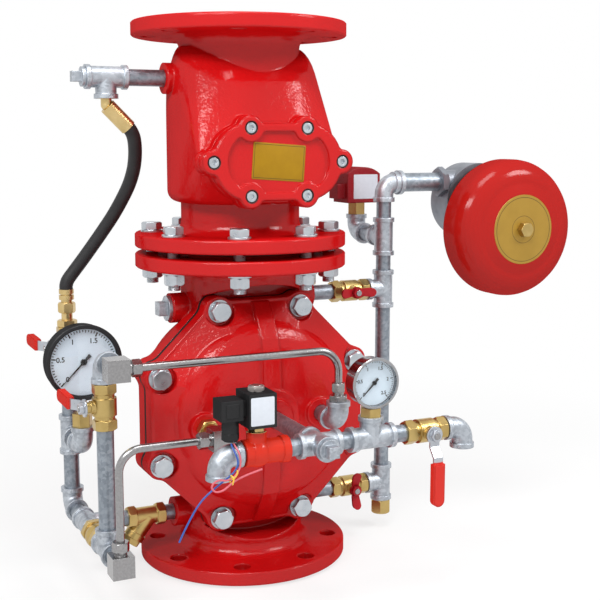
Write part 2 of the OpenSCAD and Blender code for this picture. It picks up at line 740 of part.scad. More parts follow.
module check_seat() color("goldenrod") translate([0, 0, check_z + seat_rise - seat_depth]) difference() {
    cylinder(d = bore_d - 2 * seat_gap, h = seat_depth + seat_proud);
    translate([0, 0, -1]) cylinder(d = clapper_d - 2 * seat_land, h = seat_depth + seat_proud + 2);
}

// Clapper disc with its hinge arm
module clapper() color("slategray") translate([0, 0, check_z]) difference() {
    union() {
        translate([0, 0, disc_low]) cylinder(d = clapper_d, h = disc_t);
        translate([0, 0, disc_low + disc_t - 1]) cylinder(d1 = 60, d2 = 40, h = 8);
        translate([-knuckle_w / 2, hinge_y, hinge_rise]) right() cylinder(d = knuckle_d, h = knuckle_w);
        slab(knuckle_w - 8) polygon([[0, disc_low + 2], [hinge_y - 4, disc_low + 2],
            [hinge_y, hinge_rise - 4], [hinge_y, hinge_rise + 7],
            [12, disc_low + disc_t + 6], [0, disc_low + disc_t + 6]]);
    }
    translate([-knuckle_w, hinge_y, hinge_rise]) right()
        cylinder(d = hinge_d + 2 * run_gap, h = 2 * knuckle_w);
}

module clapper_seal() color("black") translate([0, 0, check_z + seal_low]) difference() {
    cylinder(d = clapper_d - 2, h = seal_t);
    translate([0, 0, -1]) cylinder(d = clapper_d - 40, h = seal_t + 2);
}

module hinge_pin() color("silver")
    translate([-pin_half, hinge_y, check_z + hinge_rise]) right() cylinder(d = hinge_d, h = 2 * pin_half);

module check_cover() color("firebrick") at_cover() difference() {
    union() {
        translate([0, 0, cover_back]) linear_extrude(cover_t - 1.5) cover_outline();
        translate([0, 0, cover_back]) linear_extrude(cover_t) cover_outline(-1.5);
    }
    translate([0, 0, cover_face - 4]) linear_extrude(5) cover_window(10);
    for (p = cover_screws_at) translate([p.x, p.y, cover_back - 1]) {
        cylinder(d = cover_screw_d + 1, h = cover_t + 2);
        translate([0, 0, cover_t - cover_head_h + 1]) cylinder(d = cover_head_d + 2, h = cover_head_h + 2);
    }
}

module cover_gasket() color("dimgray") at_cover() translate([0, 0, pad_f]) difference() {
    linear_extrude(cover_gasket_t) cover_outline(-1);
    translate([0, 0, -1]) linear_extrude(cover_gasket_t + 2) cover_window(12);
    for (p = cover_screws_at)
        translate([p.x, p.y, -1]) cylinder(d = cover_screw_d + 1, h = cover_gasket_t + 2);
}

module cover_screws() color("silver") at_cover() for (p = cover_screws_at)
    translate([p.x, p.y, cover_face - cover_head_h]) difference() {
        union() {
            cylinder(d = cover_head_d, h = cover_head_h - 0.5);
            translate([0, 0, -cover_t + cover_head_h - 10]) cylinder(d = cover_screw_d, h = cover_t + 3);
        }
        translate([0, 0, cover_head_h - 4.5]) hexagon(6, 6);
    }

// Length of trim pipe between two fitting faces, reaching into both sockets
module nipple(way, at, from, to, d = pipe_d, bore = pipe_bore) {
    start = from - insert;
    h = to - from + 2 * insert;
    if (way == "x") translate([start, at[0], at[1]]) right() pipe(d, bore, h);
    if (way == "y") translate([at[0], start, at[1]]) back() pipe(d, bore, h);
    if (way == "z") translate([at[0], at[1], start]) pipe(d, bore, h);
}

module pipe_nipples() color("lightgray") {
    alarm_valve_left = alarm_valve_x - valve_half;
    alarm_valve_right = alarm_valve_x + valve_half;
    nipple("z", [riser_x, 0], switch_tee_z + reach, gong_pipe_z - reach);
    nipple("z", [riser_x, 0], port_high_z + reach, switch_tee_z - reach);
    nipple("z", [riser_x, 0], port_low_z + reach, port_high_z - reach);
    nipple("y", [riser_x, switch_tee_z], reach, rear_y - reach);
    for (z = [port_low_z, port_high_z]) {
        nipple("x", [0, z], port_reach, alarm_valve_left);
        nipple("x", [0, z], alarm_valve_right, riser_x - reach);
    }
    nipple("x", [0, gong_pipe_z], riser_x + reach, gong_nut_x, gong_pipe_d, gong_pipe_d - 6);
    nipple("y", [-left_x, port_low_z], reach, rear_y - reach);
    nipple("y", [-left_x, port_low_z], -reach - end_gap, -reach);
    nipple("y", [-left_x, port_low_z], reach - front_f, reach - front_f + end_gap);
    nipple("y", [-left_x, port_low_z], block / 2 - tube_f, -front_f - reach);
    nipple("z", [-left_x, -front_f], port_low_z + reach, front_valve_z - valve_half);
    nipple("z", [-left_x, -front_f], front_valve_z + valve_half, upper_tube_z - reach);
    nipple("y", [-left_x, upper_tube_z], block / 2 - tube_f, -front_f - reach);
    nipple("z", [-left_x, rear_y], port_low_z + reach, rear_tee_z - reach);
    nipple("z", [-left_x, rear_y], rear_tee_z + reach, rear_valve_z - valve_half);
    nipple("y", [-left_x, rear_tee_z], gauge_y + reach, rear_y - reach);
    nipple("x", [0, port_low_z], reach - left_x, strainer_x - strainer_half);
    nipple("x", [0, port_low_z], strainer_x + strainer_half, -port_reach);
    nipple("x", [0, hose_tee_z], reach - hose_tee_x, -check_port_reach);
    nipple("y", [cross_x, bonnet_z], reach - manifold_f, -centre_boss_f);
    nipple("y", [bonnet_right_x, bonnet_z], reach - tube_f, -port_boss_f);
    nipple("x", [-manifold_f, bonnet_z], solenoid_elbow_x + reach, solenoid_x - solenoid_half);
    nipple("x", [-manifold_f, bonnet_z], solenoid_x + solenoid_half, cross_x - reach);
    nipple("x", [-manifold_f, bonnet_z], cross_x + reach, gauge_tee_x - gauge_tee_reach);
    nipple("x", [-manifold_f, bonnet_z], gauge_tee_x + gauge_tee_reach, drain_valve_x - valve_half);
    nipple("x", [-manifold_f, bonnet_z], drain_valve_x + valve_half, drain_elbow_x - reach);
}

// One arm of a malleable fitting along +Z: its outside, and its socket and waterway
module arm(length) {
    cylinder(d = fitting_d, h = length);
    translate([0, 0, length - band_w]) cylinder(d = band_d, h = band_w);
}
module arm_hole(length, socket = socket_d) {
    cylinder(d = pipe_bore, h = length + 1);
    translate([0, 0, length - socket_depth]) cylinder(d = socket, h = socket_depth + 1);
}

// Tee or cross with an arm in each of the named directions
module tee(at, ways, length = reach) translate(at) difference() {
    union() {
        sphere(d = fitting_d);
        for (way = ways) point(way) arm(way == "up" ? reach : length);
    }
    for (way = ways) point(way) arm_hole(way == "up" ? reach : length);
}

module pipe_tees() color("silver") {
    for (z = [port_low_z, port_high_z]) tee([riser_x, 0, z], ["up", "down", "left"]);
    tee([riser_x, 0, switch_tee_z], ["up", "down", "back"]);
    tee([-left_x, rear_y, rear_tee_z], ["up", "down", "front"]);
    tee([-left_x, 0, port_low_z], ["front", "back", "right"]);
    tee([-left_x, -front_f, port_low_z], ["front", "back", "up"]);
    tee([-hose_tee_x, 0, hose_tee_z], ["left", "right", "down"]);
    tee([cross_x, -manifold_f, bonnet_z], ["left", "right", "front", "back"]);
    tee([gauge_tee_x, -manifold_f, bonnet_z], ["left", "right", "up"], gauge_tee_reach);
}

// Elbow with one arm along +X and one along +Z, joined by a swept bend
module elbow(socket_x = socket_d, band_x = band_d) difference() {
    union() {
        elbow_path(fitting_d);
        right() translate([0, 0, reach - band_w]) cylinder(d = band_x, h = band_w);
        if (band_x > band_d)
            right() translate([0, 0, reach - socket_depth - 2])
                cylinder(d = band_x - 4, h = socket_depth + 1);
        translate([0, 0, reach - band_w]) cylinder(d = band_d, h = band_w);
    }
    elbow_path(pipe_bore, 1);
    right() translate([0, 0, reach - socket_depth]) cylinder(d = socket_x, h = socket_depth + 1);
    translate([0, 0, reach - socket_depth]) cylinder(d = socket_d, h = socket_depth + 1);
}
module elbow_path(d, past = 0) {
    translate([elbow_bend, 0, elbow_bend]) rotate([90, 0, 0]) rotate(180)
        rotate_extrude(angle = 90) translate([elbow_bend, 0]) circle(d = d);
    translate([0, 0, elbow_bend]) cylinder(d = d, h = reach - elbow_bend + past);
    translate([elbow_bend, 0, 0]) right() cylinder(d = d, h = reach - elbow_bend + past);
}

module elbow_up(at, turn) translate(at) rotate(turn) elbow();
module elbow_down(at, turn) translate(at) rotate(turn) down() elbow();

module pipe_elbows() color("silver") {
    translate([riser_x, 0, gong_pipe_z]) down() elbow(gong_pipe_d + 2 * seat_gap, band_d + 4);
    elbow_up([riser_x, rear_y, switch_tee_z], -90);
    elbow_up([-left_x, rear_y, port_low_z], -90);
    elbow_up([-left_x, gauge_y, rear_tee_z], 90);
    elbow_down([-left_x, -front_f, upper_tube_z], -90);
    elbow_up([bonnet_right_x, -tube_f, bonnet_z], 90);
    elbow_down([solenoid_elbow_x, -manifold_f, bonnet_z], 0);
    elbow_down([drain_elbow_x, -manifold_f, bonnet_z], 180);
}

// Threaded plug with a collar and a square head, from its socket's face outwards
module plug(collar) {
    translate([0, 0, -insert]) cylinder(d = pipe_d, h = insert + eps);
    cylinder(d = collar, h = 5);
    square = collar * 0.52;
    translate([-square / 2, -square / 2, 4]) cube([square, square, 13]);
}

module pipe_plugs() color("gray") {
    translate([-port_reach, 0, plug_port_z]) left() plug(34);
    translate([-hose_tee_x - reach, 0, hose_tee_z]) left() plug(25);
    translate([cross_x, -manifold_f - reach, bonnet_z]) front() plug(26);
}

// Hexagonal brass adaptor: pipe end down into a socket, hexagon, and a shank up
module adaptor(across, hex_h, shank_d, shank_h) {
    translate([0, 0, -insert]) cylinder(d = pipe_d, h = insert + eps);
    hexagon(across, hex_h);
    cylinder(d = shank_d, h = hex_h + shank_h);
}

module brass_adaptors() color("goldenrod") {
    supply_low = supply_gauge_z - supply_gauge_d / 2;
    supply_hex = 18;
    into_case = 5;
    translate([-left_x, gauge_y, rear_tee_z + reach])
        adaptor(23, supply_hex, 13, supply_low - rear_tee_z - reach - supply_hex + into_case);
    translate([gauge_tee_x, -manifold_f, bonnet_z + reach]) adaptor(24, chamber_bush_h, 13, into_case);
    translate([riser_x, rear_y, switch_tee_z + reach]) adaptor(24, switch_z - switch_tee_z - reach, 14, 6);
    translate([riser_x, 0, port_low_z - reach]) down() {
        translate([0, 0, -insert]) cylinder(d = pipe_d, h = insert + eps);
        turned_hex(27, 21);
    }
    translate([bonnet_left_x, -port_boss_f, bonnet_left_z]) front() {
        translate([0, 0, -insert]) cylinder(d = pipe_d, h = insert + eps);
        turned_hex(25, 12);
        cylinder(d = pipe_d, h = tube_f - block / 2 - port_boss_f + insert);
    }
    at_gong() translate([0, 0, gong_h - rim_y + 0.2]) difference() {
        turned_hex(19, 11);
        translate([0, 0, -1]) cylinder(d = spindle_d - 4 + 0.2, h = 10);
    }
}

module hose() color("black") sweep(hose_route, hose_d, 12);

module hose_ferrules() color("darkgoldenrod") {
    tail = 8;
    ferrule_d = hose_d + 3;
    low = rear_valve_z + valve_half;
    translate([-hose_tee_x, 0, hose_tee_z - reach]) down() {
        translate([0, 0, -insert]) cylinder(d = pipe_d, h = insert + eps);
        cylinder(d = 14, h = tail);
        translate([0, 0, tail]) sphere(d = 14);
    }
    start = [-hose_tee_x, 0, hose_tee_z - reach - tail];
    lean = hose_start - start;
    translate(start) rotate([0, 180 - atan2(lean.x, -lean.z), 0]) {
        cylinder(d = 11, h = norm(lean) - 20);
        translate([0, 0, norm(lean) - 32]) difference() {
            cylinder(d = ferrule_d, h = 32 + 6);
            translate([0, 0, 32]) cylinder(d = hose_d + 0.4, h = 7);
        }
    }
    translate([hose_end.x, hose_end.y, low]) {
        translate([0, 0, -insert]) cylinder(d = pipe_d, h = insert + eps);
        turned_hex(24, 9);
        cylinder(d = 15, h = hose_end.z - low - 1);
        translate([0, 0, 19]) turned_hex(21, 14);
        translate([0, 0, hose_end.z - low - 14]) cylinder(d = ferrule_d - 1, h = 6);
        translate([0, 0, hose_end.z - low - 6]) cylinder(d = ferrule_d - 1, h = 6);
    }
}

// Ball valve with its waterway along X and its stem to the front
module ball_valve_body() difference() {
    union() {
        for (way = ["left", "right"]) point(way) {
            translate([0, 0, valve_half - valve_hex_w]) turned_hex(valve_hex, valve_hex_w);
            cylinder(d = valve_hex - 2, h = valve_half - valve_hex_w + 1);
        }
        translate([-11, 0, 0]) right() cylinder(d = valve_hex + 3, h = 22);
        front() cylinder(d = 17, h = stem_boss_f - 5);
        front() translate([0, 0, stem_boss_f - 6]) cylinder(d = 14, h = 6);
    }
    translate([-valve_len, 0, 0]) right() cylinder(d = pipe_bore, h = 2 * valve_len);
    for (way = ["left", "right"]) point(way)
        translate([0, 0, valve_half - socket_depth]) cylinder(d = socket_d, h = socket_depth + 1);
    right() sphere(d = ball_d + 2 * face_gap);
    front() cylinder(d = stem_d + 2 * run_gap, h = stem_boss_f + 1);
}

module ball_and_stem(open) difference() {
    union() {
        sphere(d = ball_d);
        front() cylinder(d = stem_d, h = stem_tip_f);
    }
    turn = open ? 90 : 0;
    rotate([0, turn, 0]) translate([0, 0, -ball_d]) cylinder(d = pipe_bore - 1.8, h = 2 * ball_d);
}

module stem_nut() front() translate([0, 0, handle_f + handle_t]) difference() {
    turned_hex(stem_nut, 6);
    translate([0, 0, -1]) cylinder(d = stem_d + 0.1, h = 8);
}

// Steel lever hanging from the stem, cranked outwards, with a dipped grip
module lever() {
    strap_w = 13;
    crank = 9;
    grip_t = 8;
    grip_len = lever_len - 34;
    front() translate([0, 0, handle_f]) difference() {
        cylinder(d = stem_nut + 9, h = handle_t);
        translate([0, 0, -1]) cylinder(d = stem_d + 0.1, h = handle_t + 2);
    }
    difference() {
        slab(strap_w) polygon([
            [-handle_f, 0], [-handle_f, -15], [-handle_f - crank, -27], [-handle_f - crank, -40],
            [-handle_f - crank - handle_t, -40], [-handle_f - crank - handle_t, -26],
            [-handle_f - handle_t, -14], [-handle_f - handle_t, 0]]);
        front() cylinder(d = stem_d + 4, h = 2 * stem_tip_f);
    }
    for (layer = [[0, grip_t], [1.6, grip_t + 2.4]])
        front() translate([0, 0, handle_f + crank + handle_t / 2 - layer[1] / 2]) linear_extrude(layer[1]) {
            w = grip_w - 2 * layer[0];
            translate([0, -lever_len + grip_w / 2]) circle(d = w);
            translate([-w / 2, -lever_len + grip_w / 2]) square([w, grip_len - grip_w / 2 - layer[0]]);
        }
}

// Butterfly handle: a hub with two wings bent outwards
module butterfly() difference() {
    union() {
        front() translate([0, 0, handle_f]) cylinder(d = 17, h = handle_t + 1);
        for (turn = [0, 180]) rotate([0, turn, 0]) intersection() {
            slab(wing_w + 2) polygon([
                [-handle_f, 4], [-handle_f, 10],
                [-handle_f - 7, wing_reach + 1], [-handle_f - 11, wing_reach + 1],
                [-handle_f - handle_t - 1, 8], [-handle_f - handle_t - 1, 4]]);
            front() translate([0, 0, handle_f - 1]) linear_extrude(20) hull() {
                circle(d = 9, $fn = 24);
                translate([0, wing_reach - wing_w / 2]) circle(d = wing_w, $fn = 32);
            }
        }
    }
    front() cylinder(d = stem_d + 0.1, h = 2 * stem_tip_f);
    front() translate([0, 0, handle_f + handle_t]) cylinder(d = stem_nut + 3, h = 9);
}

// Places a ball valve: upright ones have their stem to the left and the lever to the rear
module at_front_valve() translate([-left_x, -front_f, front_valve_z]) rotate([90, 90, 0]) children();
module at_rear_valve() translate([-left_x, rear_y, rear_valve_z]) rotate([90, 90, 0]) children();
module at_drain_valve() translate([drain_valve_x, -manifold_f, bonnet_z]) children();
module at_alarm_valve() translate([alarm_valve_x, 0, port_high_z]) children();
module at_test_valve() translate([alarm_valve_x, 0, port_low_z]) children();

module front_valve_body() color("goldenrod") at_front_valve() ball_valve_body();
module front_valve_ball() color("silver") at_front_valve() ball_and_stem(false);
module front_valve_lever() color("crimson") at_front_valve() { lever(); stem_nut(); }
module rear_valve_body() color("goldenrod") at_rear_valve() ball_valve_body();
module rear_valve_ball() color("silver") at_rear_valve() ball_and_stem(false);
module rear_valve_lever() color("crimson") at_rear_valve() { lever(); stem_nut(); }
module drain_valve_body() color("goldenrod") at_drain_valve() ball_valve_body();
module drain_valve_ball() color("silver") at_drain_valve() ball_and_stem(false);
module drain_valve_lever() color("crimson") at_drain_valve() { lever(); stem_nut(); }
module alarm_valve_body() color("goldenrod") at_alarm_valve() ball_valve_body();
module alarm_valve_ball() color("silver") at_alarm_valve() ball_and_stem(true);
module alarm_valve_handle() color("crimson") at_alarm_valve() { rotate([0, 90, 0]) butterfly(); stem_nut(); }
module test_valve_body() color("goldenrod") at_test_valve() ball_valve_body();
module test_valve_ball() color("silver") at_test_valve() ball_and_stem(false);
module test_valve_handle() color("crimson") at_test_valve() { butterfly(); stem_nut(); }

// Y-strainer: straight body with a branch leaning down to the left
strainer_lean = 218;
strainer_branch = 36;
module at_strainer_branch()
    translate([strainer_x + 4, 0, port_low_z]) rotate([0, strainer_lean, 0]) children();

module strainer_body() color("goldenrod") difference() {
    union() {
        translate([strainer_x, 0, port_low_z]) for (way = ["left", "right"]) point(way) {
            translate([0, 0, strainer_half - 12]) turned_hex(valve_hex, 12);
            cylinder(d = valve_hex - 3, h = strainer_half - 11);
        }
        at_strainer_branch() cylinder(d = 25, h = strainer_branch);
        at_strainer_branch() translate([0, 0, strainer_branch - 9]) cylinder(d = 28, h = 9);
    }
    translate([strainer_x, 0, port_low_z]) for (way = ["left", "right"]) point(way) arm_hole(strainer_half);
    at_strainer_branch() cylinder(d = 17, h = strainer_branch + 1);
}

module strainer_cap() color("darkgoldenrod") at_strainer_branch() {
    translate([0, 0, strainer_branch]) turned_hex(23, 8);
    translate([0, 0, strainer_branch - 7]) cylinder(d = 16.8, h = 7 + eps);
}

module strainer_screen() color("silver") at_strainer_branch()
    translate([0, 0, 10]) pipe(15.5, 14, strainer_branch - 17);

// Brass in-line check valve of the supply line
module check_fitting() color("goldenrod") translate([-left_x, -check_fitting_f, port_low_z]) difference() {
    union() {
        for (way = ["front", "back"]) point(way) {
            cylinder(d = valve_hex, h = check_fitting_half - 1);
            translate([0, 0, check_fitting_half - 10]) turned_hex(valve_hex + 3, 10);
        }
        sphere(d = valve_hex + 5);
    }
    for (way = ["front", "back"]) point(way) arm_hole(check_fitting_half);
}

// Stainless tube drawn as straight lengths and a swept quarter bend
module bend(d) rotate_extrude(angle = 90) translate([tube_bend, 0]) circle(d = d);

module tube_solid(d) {
    upper_start = block / 2 - left_x + nut_len - 8;
    upper_corner = bonnet_right_x - tube_bend;
    lower_corner = bonnet_left_z - tube_bend;
    translate([upper_start, -tube_f, upper_tube_z]) right()
        cylinder(d = d, h = upper_corner - upper_start + eps);
    translate([upper_corner, -tube_f, upper_tube_z - tube_bend]) rotate([90, 0, 0]) bend(d);
    translate([bonnet_right_x, -tube_f, bonnet_z + reach + 10])
        cylinder(d = d, h = upper_tube_z - tube_bend - bonnet_z - reach - 10 + eps);
    translate([-left_x, -tube_f, port_low_z + block / 2 + nut_len - 8])
        cylinder(d = d, h = lower_corner - port_low_z - block / 2 - nut_len + 8 + eps);
    translate([tube_bend - left_x, -tube_f, lower_corner]) rotate([90, 0, 0]) rotate(90) bend(d);
    translate([tube_bend - left_x - eps, -tube_f, bonnet_left_z]) right()
        cylinder(d = d, h = bonnet_left_x - block / 2 - nut_len + 8 - tube_bend + left_x);
}

module control_tubes() color("lightsteelblue") tube_solid(tube_d);

// Compression nut on a tube, from the face that it screws to
module tube_nut() difference() {
    union() {
        cylinder(d = 15, h = 5);
        translate([0, 0, 4]) turned_hex(nut_hex, nut_len - 4);
    }
    translate([0, 0, 7]) cylinder(d = tube_d + 2 * seat_gap, h = nut_len);
}

// Square elbow block: socket at the back, tube nut towards another side
module square_elbow(at, way) translate(at) {
    difference() {
        translate([-block / 2, -block / 2, -block / 2]) cube(block);
        back() translate([0, 0, block / 2 - socket_depth]) cylinder(d = socket_d, h = socket_depth + 1);
    }
    point(way) translate([0, 0, block / 2]) tube_nut();
}

module tube_fittings() color("gray") {
    square_elbow([-left_x, -tube_f, port_low_z], "up");
    square_elbow([-left_x, -tube_f, upper_tube_z], "right");
    square_elbow([bonnet_left_x, -tube_f, bonnet_left_z], "left");
    translate([bonnet_right_x, -tube_f, bonnet_z + reach]) {
        difference() {
            union() {
                translate([0, 0, -insert]) cylinder(d = pipe_d, h = insert + eps);
                turned_hex(22, 8);
                translate([0, 0, 7]) cylinder(d = 14, h = 6);
                translate([0, 0, 12]) turned_hex(16, 12);
            }
            translate([0, 0, 9.5]) cylinder(d = tube_d + 2 * seat_gap, h = 20);
        }
    }
}

// Gauge case towards the viewer from its back, with a sunk dial and a hole for its shank
module gauge_case(d, depth, shank_f) difference() {
    bezel_w = d * bezel_share;
    front() rotate_extrude($fn = 96) polygon([
        [0, 0], [d / 2 - 6, 0], [d / 2 - 1.5, 4], [d / 2 - 1.5, depth - 6], [d / 2, depth - 5],
        [d / 2, depth - 1], [d / 2 - 1, depth], [d / 2 - bezel_w, depth],
        [d / 2 - bezel_w, depth - gauge_recess], [0, depth - gauge_recess]]);
    translate([0, -shank_f, -d / 2 - 1]) cylinder(d = 13.2, h = 6.2);
    front() translate([0, 0, depth - gauge_recess - 5]) cylinder(d = pin_d + 2 * run_gap, h = 6);
}

// Pointer at the bottom of its scale, turning on a pin in the dial's centre
module gauge_needle(d, depth) front() {
    dial = depth - gauge_recess;
    tip = d / 2 - d * bezel_share - 6;
    translate([0, 0, dial - 4]) cylinder(d = pin_d, h = 5);
    translate([0, 0, dial + face_gap]) cylinder(d = d * 0.08, h = 3);
    translate([0, 0, dial + 1.5]) linear_extrude(0.8) rotate(225)
        polygon([[-tip * 0.32, -d * 0.025], [-tip * 0.32, d * 0.025],
            [0, 1.2], [tip, 0.3], [tip, -0.3], [0, -1.2]]);
}

module at_supply_gauge() translate([-left_x, gauge_y + supply_gauge_f, supply_gauge_z]) children();
module at_chamber_gauge() translate([gauge_tee_x, chamber_gauge_f - manifold_f, chamber_gauge_z]) children();

module supply_gauge() color("dimgray") at_supply_gauge()
    gauge_case(supply_gauge_d, supply_gauge_t, supply_gauge_f);
module supply_needle() color("black") at_supply_gauge() gauge_needle(supply_gauge_d, supply_gauge_t);
module chamber_gauge() color("lightgray") at_chamber_gauge()
    gauge_case(chamber_gauge_d, chamber_gauge_t, chamber_gauge_f);
module chamber_needle() color("black") at_chamber_gauge() gauge_needle(chamber_gauge_d, chamber_gauge_t);

// Solenoid valve: body along X, neck with the core tube, coil, connector and plunger
solenoid_neck = 33;
neck_nut_h = 7;
coil_h = 40;
core_d = 13;
plunger_d = 9;
module at_solenoid() translate([solenoid_x, -manifold_f, bonnet_z]) children();
module at_coil() translate([coil_x, -manifold_f, bonnet_z + solenoid_neck]) children();

module solenoid_body() color("red") difference() {
    union() {
        at_solenoid() for (way = ["left", "right"]) point(way) {
            cylinder(d = fitting_d + 2, h = solenoid_half);
            translate([0, 0, solenoid_half - 9]) cylinder(d = fitting_d + 5, h = 9);
        }
        translate([coil_x, -manifold_f, bonnet_z]) sphere(d = fitting_d + 8);
        translate([coil_x, -manifold_f, bonnet_z]) cylinder(d = 24, h = solenoid_neck - neck_nut_h);
        at_coil() translate([0, 0, -neck_nut_h - 1]) turned_hex(18, neck_nut_h + 1);
        at_coil() translate([0, 0, -1]) cylinder(d = core_d, h = coil_h + 8);
    }
    at_solenoid() for (way = ["left", "right"]) point(way) arm_hole(solenoid_half);
    at_coil() translate([0, 0, -solenoid_neck + 6])
        cylinder(d = plunger_d + 2 * run_gap, h = solenoid_neck + coil_h - 4);
}

module solenoid_plunger() color("silver") at_coil()
    translate([0, 0, -solenoid_neck + 6 + face_gap]) cylinder(d = plunger_d, h = solenoid_neck + coil_h - 18);

module solenoid_coil() color("black") at_coil() {
    difference() {
        translate([0, 0, coil_h / 2 + face_gap]) cube([coil_w, coil_depth, coil_h], center = true);
        cylinder(d = core_d + 0.4, h = coil_h + 2);
    }
    translate([0, 0, coil_h + face_gap]) difference() {
        turned_hex(18, 6);
        translate([0, 0, -1]) cylinder(d = core_d + 0.4, h = 8);
    }
}

connector_w = 31;
module coil_connector() color("black") {
    at_coil() translate([-coil_w / 2 - 0.2, 0, 0]) {
        translate([-4, -11, 14]) cube([4, 22, 18]);
        translate([-connector_w, -14, 10]) cube([connector_w - 4, 28, 24]);
        translate([6 - connector_w, -15, 14]) cube([15, 2, 16]);
    }
    translate(gland) {
        cylinder(d = 15, h = 2);
        translate([0, 0, 1.5]) turned_hex(19, 9);
        translate([0, 0, 10]) cylinder(d = 20, h = 17);
    }
}

module red_wire() color("crimson") sweep([for (p = red_turns) gland + p], wire_d, 8);
module blue_wire() color("blue") sweep([for (p = blue_turns) gland + p], wire_d, 8);

// Pressure switch housing with a bowed top
module pressure_switch() color("maroon") translate([riser_x, rear_y, switch_z]) {
    half_w = 27;
    depth = 46;
    side_h = 43;
    crown_h = 10;
    crown_r = (half_w * half_w + crown_h * crown_h) / (2 * crown_h);
    spread = asin(half_w / crown_r);
    difference() {
        translate([0, depth / 2, 0]) front() linear_extrude(depth) polygon(concat(
            [[-half_w, 0], [half_w, 0]],
            arc([0, side_h + crown_h - crown_r], crown_r, 90 - spread, 90 + spread, 10)));
        translate([0, 0, -1]) cylinder(d = 14.2, h = 8);
    }
    translate([-half_w - 12, -14, 6]) cube([12, 28, 22]);
}

// Water motor behind the gong: eccentric housing, inlet socket, spindle and back cover
module gong_motor() color("darkgray") difference() {
    union() {
        at_gong() translate([0, 0, -motor_back]) cylinder(d = motor_d, h = motor_back + motor_front);
        translate([lobe_x, motor_back, lobe_z]) front() cylinder(r = lobe_r, h = motor_back + motor_front);
        translate([gong_nut_x - 2, 0, gong_pipe_z]) right() turned_hex(38, 10);
        translate([gong_nut_x + 7, 0, gong_pipe_z]) right() cylinder(d = 34, h = 40);
        at_gong() cylinder(d = spindle_d, h = gong_h - rim_y - gong_wall);
        at_gong() cylinder(d = spindle_d - 4, h = gong_h - rim_y + 8);
    }
    translate([gong_nut_x - 3, 0, gong_pipe_z]) right()
        cylinder(d = gong_pipe_d + 2 * seat_gap, h = insert + 4);
    translate([gong_nut_x, 0, gong_pipe_z]) right() cylinder(d = pipe_bore, h = 60);
    at_gong() translate([0, 0, -motor_back + 8])
        pipe(impeller_d + 4, spindle_d, motor_back + motor_front - 16);
    at_gong() translate([0, 0, motor_front - 9]) pipe(sleeve_d + 2, spindle_d, 12);
}

// Gong bell: a dished steel shell, open at the back
module gong_bell() color("red") at_gong() translate([0, 0, -rim_y]) rotate_extrude($fn = 96) {
    corner = 34;
    hub_r = spindle_d / 2 - 2 + 0.1;
    bend = [gong_d / 2 - corner, gong_h - corner];
    inner = crown(bend, corner - gong_wall, corner - 4 - gong_wall, 8);
    polygon(concat(
        [[gong_d / 2 - gong_wall, 0], [gong_d / 2, 0]],
        crown(bend, corner, corner - 4, 8),
        [[52, gong_h], [hub_r, gong_h], [hub_r, gong_h - gong_wall], [52, gong_h - gong_wall]],
        [for (i = [8:-1:0]) inner[i]]));
}

// Impeller, sleeve and striker arm turning together on the spindle
module striker() color("goldenrod") difference() {
    union() {
        at_gong() translate([0, 0, -motor_back + 9]) cylinder(d = sleeve_d, h = motor_back + striker_f);
        at_gong() translate([0, 0, -motor_back + 9]) cylinder(d = impeller_d, h = 4);
        at_gong() for (a = [0:45:315]) rotate(a + 10) translate([sleeve_d / 2 - 2, -1.5, -motor_back + 11])
            cube([impeller_d / 2 - sleeve_d / 2 - 1, 3, 19]);
        at_gong() translate([0, -6, striker_f - 16]) cube([striker_reach - 8, 12, 5]);
        at_gong() translate([striker_reach - 9, 0, striker_f - 20]) cylinder(d = 17, h = 13);
    }
    at_gong() translate([0, 0, -motor_back]) cylinder(d = spindle_d + 2 * run_gap, h = 200);
}

valve_body();
seat_ring();
diaphragm();
diaphragm_plate();
return_spring();
bonnet();
bonnet_bolts();
flange_gasket();
flange_bolts();
flange_nuts();
check_body();
check_seat();
clapper();
clapper_seal();
hinge_pin();
check_cover();
cover_gasket();
cover_screws();
pipe_nipples();
pipe_tees();
pipe_elbows();
pipe_plugs();
brass_adaptors();
hose();
hose_ferrules();
front_valve_body();
front_valve_ball();
front_valve_lever();
rear_valve_body();
rear_valve_ball();
rear_valve_lever();
drain_valve_body();
drain_valve_ball();
drain_valve_lever();
alarm_valve_body();
alarm_valve_ball();
alarm_valve_handle();
test_valve_body();
test_valve_ball();
test_valve_handle();
strainer_body();
strainer_cap();
strainer_screen();
check_fitting();
control_tubes();
tube_fittings();
supply_gauge();
supply_needle();
chamber_gauge();
chamber_needle();
solenoid_body();
solenoid_coil();
solenoid_plunger();
coil_connector();
red_wire();
blue_wire();
pressure_switch();
gong_motor();
gong_bell();
striker();
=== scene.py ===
import bpy
import numpy as np
from mathutils import Matrix


